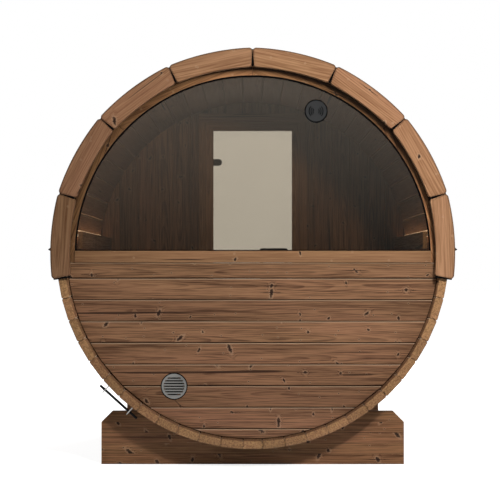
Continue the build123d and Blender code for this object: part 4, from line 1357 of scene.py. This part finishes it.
class SAUNA_OT_door_frame(bpy.types.Operator):
    """The door frame with its rebate, and the casings on both sides"""

    bl_idname = "sauna.door_frame"
    bl_label = "Door frame"

    def frame_pieces(self):
        """Four mitred bars of one stepped section.

        Each point of the section keeps its distance inside the frame's edge, and a bar runs
        between the two corners where its neighbours have that same point.
        """
        s = sizes()
        least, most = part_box("door_frame")
        step_y = most.y - s.rebate_depth
        y = (least.y, step_y, step_y, most.y, most.y, step_y + 0.002, step_y - 0.002, least.y)

        def inside(width):
            """How far each point lies inside the edge of a bar of a width."""
            return np.array((width, width, width - s.rebate, width - s.rebate, 0, 0, 0, 0))

        x = most.x - inside(s.jamb_width)
        foot, top = least.z + inside(s.head_height), most.z - inside(s.head_height)
        places = ((-x, foot), (x, foot), (x, top), (-x, top))
        corners = [np.stack((x_place, y, z_place), axis=1) for x_place, z_place in places]
        boards = Boards(first_number=620)
        for start, stop in zip(corners, corners[1:] + corners[:1]):
            along = (stop - start)[0] / np.linalg.norm((stop - start)[0])
            gap = along * s.board_gap / 2
            axes = (along, np.cross(along, (0, 1, 0)), (0, 1, 0))
            boards.add(np.array((start + gap, stop - gap)), axes, (start[0] + stop[0]) / 2)
        boards.piece("door_frame_bars", frame_wood(), "frame_wood", "door_frame")

    def casing(self, node, first_number):
        """Two legs and a head board."""
        s = sizes()
        least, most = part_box(node)
        boards = Boards(first_number)
        head_foot = most.z - s.casing_head
        for side in (-1, 1):
            near, far = sorted((side * most.x, side * (most.x - s.casing_width)))
            boards.bar((near, least.y, least.z), (far, most.y, head_foot), "z", s.edge_radius)
        boards.bar((least.x, least.y, head_foot + s.board_gap), most, "x", s.edge_radius)
        boards.piece(node + "_boards", frame_wood(), "frame_wood", node)

    def execute(self, context):
        self.frame_pieces()
        self.casing("door_casing_inside", 640)
        self.casing("door_casing_outside", 650)
        return {"FINISHED"}


class SAUNA_OT_door_leaf(bpy.types.Operator):
    """The glass door with its hinges and handle"""

    bl_idname = "sauna.door_leaf"
    bl_label = "Door leaf"

    def execute(self, context):
        c = colours()
        dress(glass("Door glass", c.door_tint, (0.5, 0.48, 0.42)), "door_glass", "door_glass")
        black = metal("Black metal", c.black_metal, 0.42, 0.6)
        dress(black, "black_metal", "door_hinges", "frame_hinges", "door_handle")
        return {"FINISHED"}


class SAUNA_OT_floor(bpy.types.Operator):
    """Floor boards on joists"""

    bl_idname = "sauna.floor"
    bl_label = "Floor"

    def execute(self, context):
        s = sizes()
        least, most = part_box("floor_boards")
        pitch = (most.x - least.x + s.floor_gap) / s.floor_boards
        boards = Boards(first_number=700)
        for near in least.x + pitch * np.arange(s.floor_boards):
            far = near + pitch - s.floor_gap
            boards.bar((near, least.y, least.z), (far, most.y, most.z), "y", s.edge_radius)
        boards.piece("floor_planks", bench_wood(), "bench_wood", "floor_boards")
        least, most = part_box("floor_joists")
        chord = chord_of(RADIUS - s.stave_thickness - FIT)
        outline = trimmed_strip(least.z - AXIS_Z, most.z - AXIS_Z, lambda z: -chord(z), chord)
        joists = Boards(first_number=720)
        for near in np.linspace(least.y, most.y - s.joist_width, s.joist_count):
            levels = rounded_levels(near, near + s.joist_width, SLIM)
            joists.carry(outline, levels, origin=(0, near, AXIS_Z))
        joists.piece("floor_joist_beams", bench_wood(), "bench_wood", "floor_joists")
        return {"FINISHED"}


class SAUNA_OT_backrests(bpy.types.Operator):
    """Backrests on battens along both sides, with a light strip behind each"""

    bl_idname = "sauna.backrests"
    bl_label = "Backrests"

    def light_edges(self):
        """A slim glowing lip on the staves a little above each backrest: painted light, where the
        strips' light strikes the staves.
        """
        edge = glowing("Light edge", colours().light_edge, studio().edge_strength)
        for side, name in ((-1, "left"), (1, "right")):
            least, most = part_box("backrest_" + name)
            foot = most.z + LIGHT_EDGE_RISE
            top = foot + LIGHT_EDGE_HEIGHT
            wall = float(chord_of(RADIUS - sizes().stave_thickness)(foot - AXIS_Z))
            near, far = sorted((side * (wall - 0.0055), side * (wall - 0.0005)))
            lip = Boards()
            lip.bar((near, least.y + 0.05, foot), (far, most.y - 0.02, top), "y", SLIM)
            lip.piece("light_edge_" + name, edge, "light_diffuser")

    def execute(self, context):
        s = sizes()
        chord = chord_of(RADIUS - s.stave_thickness - FIT)
        pitch = s.backrest_board + s.backrest_gap
        half = s.batten_width / 2
        for side, node, first in ((-1, "backrest_left", 740), (1, "backrest_right", 760)):
            least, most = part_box(node)
            face = min(abs(least.x), abs(most.x))
            back = face + s.backrest_thickness
            near, far = sorted((side * face, side * back))
            boards = Boards(first)
            for top in most.z - pitch * np.arange(s.backrest_boards):
                foot = top - s.backrest_board
                boards.bar((near, least.y, foot), (far, most.y, top), "y", s.edge_radius)
            bottom = most.z - pitch * s.backrest_boards + s.backrest_gap - AXIS_Z
            top = low("light_strips", "z") - FIT - AXIS_Z
            outline = trimmed_strip(bottom, top, lambda z: np.full_like(z, back), chord)
            ends = (WINDOW_WALL_IN + s.batten_inset, DOOR_WALL_IN - s.batten_inset)
            for middle in np.linspace(*ends, s.batten_count):
                levels = rounded_levels(middle - half, middle + half, SLIM)
                origin = (side * back, middle, AXIS_Z)
                boards.carry(outline * (side, 1), levels, axes=ALONG_Z, origin=origin)
            boards.piece(node + "_boards", bench_wood(), "bench_wood", node)
        self.light_edges()
        light = glowing("Light diffuser", colours().light, studio().strip_strength)
        dress(light, "light_diffuser", "light_strips")
        return {"FINISHED"}


class SAUNA_OT_bands(bpy.types.Operator):
    """Steel bands with their tensioner rods"""

    bl_idname = "sauna.bands"
    bl_label = "Bands"

    def threads(self, material):
        """A thread round each rod: its radius is a mean one and a cosine of the place along it."""
        s = sizes()
        out, along = turned(s.rod_angle)
        place = np.linspace(-s.rod_length / 2, s.rod_length / 2, 241)[:, None, None]
        radius = s.thread_radius + THREAD_DEPTH * np.cos(2 * math.pi * place / THREAD_PITCH)
        radius[[0, -1]] = s.thread_radius - 0.0015
        turn = np.linspace(0, 2 * math.pi, 12, endpoint=False)[:, None]
        circle = np.cos(turn) * out + np.sin(turn) * (0, 1, 0)
        for end in ("window_end", "middle", "door_end"):
            middle = out * (RADIUS + s.rod_height) + (0, centre_of("band_" + end).y, AXIS_Z)
            thread = Boards()
            thread.add(radius * circle + place * along + middle, np.eye(3))
            thread.piece("rod_thread_" + end, material, "rod_steel")

    def execute(self, context):
        steel = metal("Band steel", colours().band, 0.32)
        dress(steel, "band_steel", "band_window_end", "band_middle", "band_door_end")
        black = moulded("Rod steel", colours().rod, 0.55, 0.1)
        dress(black, "rod_steel", "tensioner_rods")
        self.threads(black)
        return {"FINISHED"}


class SAUNA_OT_roof(bpy.types.Operator):
    """Rows of shingles from the drip edges up to the ridge"""

    bl_idname = "sauna.roof"
    bl_label = "Roof"

    def tab(self, boards, side, start, stop, near, far):
        """One tab: a strip up the curve between two arc lengths from the barrel's side.

        Its underside rises towards the lower edge by its own thickness, because it lies on
        the row below, and bends with the barrel.
        """
        s = sizes()
        base = ROOF_RADIUS - 2 * s.shingle_thickness + FIT
        arc = np.linspace(start, stop, 6)
        lift = s.shingle_thickness * (1 - (arc - start) / (stop - start))
        turn = np.concatenate((arc, arc[::-1])) / base
        reach = base + np.concatenate((lift, lift[::-1]))
        rings = []
        for share, inwards in ((0.0, 0.0), (0.6, 0.0), (1.0, 0.0008)):
            y = np.repeat((near + inwards, far - inwards), len(arc))
            radius = reach + s.shingle_thickness * share
            x, z = side * radius * np.cos(turn), AXIS_Z + radius * np.sin(turn)
            rings.append(np.stack((x, y, z), axis=1))
        out, up = (direction * (side, 1, 1) for direction in turned(math.degrees(turn.mean())))
        origin = base * out + (0, (near + far) / 2, AXIS_Z)
        boards.add(np.array(rings), (up, (0, 1, 0), out), origin)

    def underlay(self, boards, side, start):
        """A sheet of felt under the shingles, from a starting angle up to the ridge."""
        s = sizes()
        top = ROOF_RADIUS - 2 * s.shingle_thickness
        circle = on_arc(1, np.linspace(start, math.pi / 2, 49)) * (side, 1)
        outline = np.concatenate((top * circle, (top - s.felt_thickness) * circle[::-1]))
        levels = np.array(((FRONT + s.trim_thickness + 0.001, 0, 0), (BACK - 0.003, 0, 0))).T
        boards.carry(outline, levels, axes=ALONG_Y, origin=(0, 0, AXIS_Z))

    def gable_trims(self, material):
        """Thin upright sheets behind the arch boards, from the roof up to near their edge.

        The inner edge is a circle about the barrel's axis, and the outer one about the arch's.
        """
        s = sizes()
        turn = np.radians(np.linspace(6, 174, 73))
        upper = on_arc(RADIUS + s.arch_stand_out - s.trim_margin, turn) + (0, s.arch_rise)
        outline = np.concatenate((upper, on_arc(ROOF_RADIUS + FIT, turn)[::-1]))
        for end, near in (("window_end", FRONT), ("door_end", BACK - s.trim_thickness)):
            trim = Boards()
            levels = rounded_levels(near, near + s.trim_thickness, SHEET, 1)
            trim.carry(outline, levels, origin=(0, near, AXIS_Z))
            trim.piece("gable_trim_" + end, material, "drip_metal")

    def drip_caps(self, material):
        """Folded sheets that close both ends of the drip edges.

        Their section lies under the fold, between the staves and the tip.
        """
        tip = high("drip_edge_right", "x") - 0.0004
        x = (RADIUS + 0.0065, RADIUS + sizes().drip_fold, tip)
        upper = np.stack((x, (0.030, 0.029, 0.017)), axis=1)
        lower = np.stack((x, (0.001, 0.008, 0.0155)), axis=1)
        outline = np.concatenate((upper, lower[::-1]))
        for end, near in (("window_end", FRONT + 0.001), ("door_end", BACK - 0.001 - CAP_LENGTH)):
            caps = Boards()
            levels = rounded_levels(near, near + CAP_LENGTH, 0.0003, 1)
            for side in (-1, 1):
                caps.carry(outline * (side, 1), levels, origin=(0, near, AXIS_Z))
            caps.piece("drip_caps_" + end, material, "drip_metal")

    def execute(self, context):
        s = sizes()
        material = shingled("Roof shingle", colours().shingle)
        ridge = ROOF_RADIUS * math.pi / 2
        for side, node, first in ((1, "roof_right", 1000), (-1, "roof_left", 1300)):
            boards = Boards(first)
            start = low(node, "z") - AXIS_Z
            rows = math.ceil((ridge - start) / s.shingle_row)
            row_height = (ridge - start) / rows
            self.underlay(boards, side, start / ROOF_RADIUS)
            for row in range(rows):
                bottom = start + row * row_height
                top = min(bottom + row_height + s.shingle_lap, ridge - 0.0004)
                shift = s.shingle_tab * (0.25 if row % 2 else 0.75)
                for cut in np.arange(FRONT - shift, BACK, s.shingle_tab):
                    near = max(cut, FRONT) + s.shingle_slot / 2
                    far = min(cut + s.shingle_tab, BACK) - s.shingle_slot / 2
                    if far - near > s.shingle_slot:
                        self.tab(boards, side, bottom, top, near, far)
            boards.piece(node + "_shingles", material, "roof_shingle", node)
        sheet = metal("Drip metal", colours().drip, 0.5, 0.1)
        self.gable_trims(sheet)
        dress(sheet, "drip_metal", "drip_edge_left", "drip_edge_right")
        self.drip_caps(sheet)
        return {"FINISHED"}


class SAUNA_OT_arches(bpy.types.Operator):
    """Curved boards over the stave ends"""

    bl_idname = "sauna.arches"
    bl_label = "Arches"

    def outline(self):
        """Across one board, about the arch's centre: outwards against sideways.

        Each long edge is a circle through its two corners and a flatter middle. Close to the
        ends both edges draw in by the corner's quarter circle.
        """
        s = sizes()
        outer = RADIUS + s.arch_stand_out
        half = math.radians(s.arch_angle / 2)

        def edge(radius, flatness, inwards):
            """One long edge, from its first corner to its second."""
            reach = radius * math.sin(half) - s.arch_gap / 2
            rise = radius - flatness - radius * math.cos(half)
            curve = (reach**2 + rise**2) / (2 * rise)
            near = -reach + s.arch_corner * (1 - np.cos(np.linspace(0, math.pi / 2, 7)))
            across = np.concatenate((near, np.linspace(near[-1], -near[-1], 19)[1:-1], -near[::-1]))
            ends = np.maximum(np.abs(across) - (reach - s.arch_corner), 0)
            drawn = s.arch_corner - np.sqrt(np.maximum(s.arch_corner**2 - ends**2, 0))
            out = radius - flatness - curve + np.sqrt(curve**2 - across**2) + inwards * drawn
            return np.stack((out, across), axis=1)

        lower = edge(outer - s.arch_depth, s.arch_inner_flatness, 1)
        return np.concatenate((edge(outer, s.arch_outer_flatness, -1), lower[::-1]))

    def joint_strips(self):
        """Black strips set back in the joints between the arch boards."""
        s = sizes()
        material = rubber("Joint strip", colours().seal)
        outer = RADIUS + s.arch_stand_out - s.arch_outer_flatness - 0.005
        inner = RADIUS + s.arch_stand_out - s.arch_depth + 0.003
        outline, _ = rounded_rectangle(outer - inner, s.arch_gap + 0.001, 0.002)
        for end, sign in (("window_end", 1), ("door_end", -1)):
            node = f"arch_{end}_right"
            face, rear = (low(node, "y"), high(node, "y"))[::sign]
            levels = rounded_levels(*sorted((face + sign * 0.007, rear - sign * 0.002)), SLIM)
            strips = Boards()
            for number in range(s.arch_boards + 1):
                directions = turned(90 + s.arch_angle * (number - s.arch_boards / 2))
                to_frame = round_middle(*directions, (outer + inner) / 2, AXIS_Z + s.arch_rise)
                strips.carry(outline, levels, to_frame, np.eye(3))
            strips.piece("arch_joint_strips_" + end, material, "seal_rubber")

    def execute(self, context):
        s, c = sizes(), colours()
        look = {"ring_width": 0.010, "ring_depth": 0.26, "streaks": 0.7, "knots": 0.14, "spread": 0.05}
        material = wood("Arch wood", c.arch_pale, c.arch_dark, srgb(50, 32, 22), **look)
        self.joint_strips()
        outline = self.outline()
        mark = np.repeat((0.9, 0.0), len(outline) // 2)
        centre = AXIS_Z + s.arch_rise
        middle = RADIUS + s.arch_stand_out - s.arch_depth / 2
        half_count = s.arch_boards // 2
        for end, first_number in (("window_end", 800), ("door_end", 820)):
            for side, first in (("right", 0), ("left", half_count)):
                node = f"arch_{end}_{side}"
                near, far = low(node, "y"), high(node, "y")
                rounded = rounded_levels(near, far, s.arch_edge, 3)
                rounded[2] = 0
                rim = np.array(((near, s.arch_rim, 0), (far, s.arch_rim, 0))).T
                levels = np.concatenate((rim[:, :1], rounded, rim[:, 1:]), axis=1)
                boards = Boards(first_number + first)
                for number in range(first, first + half_count):
                    turn = 90 + s.arch_angle * (number - (s.arch_boards - 1) / 2)
                    out, sideways = turned(turn)
                    to_frame = round_middle(out, sideways, 0, centre)
                    axes = (sideways, out, (0, 1, 0))
                    origin = out * middle + (0, near, centre)
                    # Painted light: a board's tone follows the cosine of its angle from the lit side
                    tone = s.curve_tone + s.curve_fading * math.cos(math.radians(turn - PAINTED_LIGHT_SIDE))
                    boards.carry(outline, levels, to_frame, axes, origin, mark, tone=tone)
                boards.piece(node + "_boards", material, "arch_wood", node)
        return {"FINISHED"}


class SAUNA_OT_stage(bpy.types.Operator):
    """The floor, the background, the lamps and the camera"""

    bl_idname = "sauna.stage"
    bl_label = "Stage"

    def seen(self, net):
        """Two masks: what is seen directly or through glass, and what is seen in a mirror."""
        path = net.node("ShaderNodeLightPath").outputs
        seen = net.math("MAXIMUM", path["Is Camera Ray"], path["Is Glossy Ray"])
        seen = net.math("MAXIMUM", seen, path["Is Transmission Ray"])
        direct = net.math("LESS_THAN", path["Diffuse Depth"], 0.5)
        return net.times(seen, direct), net.math("GREATER_THAN", path["Glossy Depth"], 0.5)

    def floor(self):
        """A wide level sheet, white far away and a little less so in the barrel's shadow."""
        corners = STAGE_REACH * np.array(((-1, -1, 0), (1, -1, 0), (1, 1, 0), (-1, 1, 0)))
        mesh = new_mesh("studio_floor", corners, np.arange(4)[None])
        floor = new_object("studio_floor", mesh)
        material, net, principled = new_material("studio_floor")
        plain = {"Base Color": (0.5, 0.5, 0.5, 1), "Roughness": 0.9, "Specular IOR Level": 0.0}
        net.fed(principled, plain)
        seen, _ = self.seen(net)
        white = net.step(net.vector("LENGTH", net.place()), 2.0, 5.0, 0.80, 1.0)
        glow = net.fed(net.node("ShaderNodeEmission"), {"Strength": net.times(seen, white)})
        both = (principled.outputs[0], glow.outputs[0])
        net.show(net.fed(net.node("ShaderNodeAddShader"), both).outputs[0])
        mesh.materials.append(material)
        floor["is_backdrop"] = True

    def world(self):
        """White for what is seen, darker near the horizon in mirrors, and soft light."""
        world = bpy.data.worlds.new("studio")
        bpy.context.scene.world = world
        world.use_nodes = True
        net = Net(world.node_tree)
        background = next(node for node in net.tree.nodes if node.type == "BACKGROUND")
        seen, mirrored = self.seen(net)
        _, _, up = net.split(net.node("ShaderNodeTexCoord").outputs["Generated"])
        mirror = net.plus(net.step(up, -0.02, 0.14, 0.14, 1.0), net.step(up, 0.14, 0.6, 0, 0.1))
        warm = net.mix(mirror, (0, 0, 0), (1.0, 0.90, 0.78))
        white = net.mix(mirrored, (1, 1, 1), warm)
        net.feed(background.inputs["Color"], net.mix(seen, (studio().ambient,) * 3, white))

    def lamp(self, name, place, target, size, power, height=None, spread=180.0):
        """A square or wide lamp that points at a target, and lights within a spread in degrees."""
        data = bpy.data.lights.new(name, "AREA")
        data.shape = "RECTANGLE"
        data.size = size
        data.size_y = height or size
        data.spread = math.radians(spread)
        data.energy = power
        lamp = new_object(name, data)
        lamp.location = place
        lamp.visible_glossy = False
        lamp.visible_transmission = False
        lamp.rotation_euler = (Vector(target) - Vector(place)).to_track_quat("-Z", "Y").to_euler()

    def camera(self):
        """The camera in front of the window end."""
        t = studio()
        data = bpy.data.cameras.new("camera")
        data.lens = t.camera_lens
        data.clip_end = 200
        camera = new_object("camera", data)
        camera.location = (0, FRONT - t.camera_distance, t.camera_height)
        turn = (math.radians(90 + t.camera_pitch), 0, math.radians(t.camera_yaw))
        camera.rotation_euler = turn
        bpy.context.scene.camera = camera

    def execute(self, context):
        t = studio()
        self.floor()
        self.world()
        middle, window, back = ((0, y, AXIS_Z) for y in (0, FRONT, BACK))
        key = (1.0, FRONT - 3.4, AXIS_Z + 1.05)
        self.lamp("key", key, (1.0, FRONT, AXIS_Z + 0.3), t.key_size, t.key_power)
        self.lamp("top", (1.2, FRONT - 4.0, AXIS_Z + 3.4), window, 2.0, t.top_power)
        self.lamp("foot", (0, FRONT - 1.4, 0.17), (0, FRONT, 0.16), 1.5, t.foot_power, 0.12, 14.0)
        self.lamp("right", (7.0, 1.5, 4.0), middle, 3.0, 380.0)
        self.lamp("left", (-7.0, 1.0, 4.5), middle, 3.0, 300.0)
        self.lamp("back", (2.5, 8.0, 3.2), back, 2.0, 420.0)
        self.camera()
        bpy.context.scene.view_settings.view_transform = "Standard"
        return {"FINISHED"}


class SAUNA_PT_panel(bpy.types.Panel):
    """Lists the steps in the sidebar of the 3D view"""

    bl_idname = "SAUNA_PT_panel"
    bl_label = "Barrel Sauna"
    bl_space_type = "VIEW_3D"
    bl_region_type = "UI"
    bl_category = "Sauna"

    def draw(self, context):
        """One button for each step."""
        for step in STEPS:
            self.layout.operator(step.bl_idname)


STEPS = (
    SAUNA_OT_staves,
    SAUNA_OT_cradles,
    SAUNA_OT_window_wall,
    SAUNA_OT_window_frame,
    SAUNA_OT_window_glass,
    SAUNA_OT_door_wall,
    SAUNA_OT_door_frame,
    SAUNA_OT_door_leaf,
    SAUNA_OT_floor,
    SAUNA_OT_backrests,
    SAUNA_OT_bands,
    SAUNA_OT_roof,
    SAUNA_OT_arches,
    SAUNA_OT_stage,
)
SETTINGS = {
    "sauna_sizes": SaunaSizes,
    "sauna_colours": SaunaColours,
    "sauna_studio": SaunaStudio,
}
CLASSES = (*SETTINGS.values(), *STEPS, SAUNA_PT_panel)


def register():
    """Registers the settings, the operators and the panel."""
    for group in CLASSES:
        bpy.utils.register_class(group)
    for name, group in SETTINGS.items():
        setattr(bpy.types.Scene, name, PointerProperty(type=group))


def unregister():
    """Takes away all that register adds."""
    for name in SETTINGS:
        delattr(bpy.types.Scene, name)
    for group in reversed(CLASSES):
        bpy.utils.unregister_class(group)


def main():
    register()
    for step in STEPS:
        family, name = step.bl_idname.split(".")
        getattr(getattr(bpy.ops, family), name)()
    boxes = {"cad": CAD_BOX, "visual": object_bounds()}
    {name: [list(corner) for corner in box] for name, box in boxes.items()}


if __name__ == "__main__":
    main()
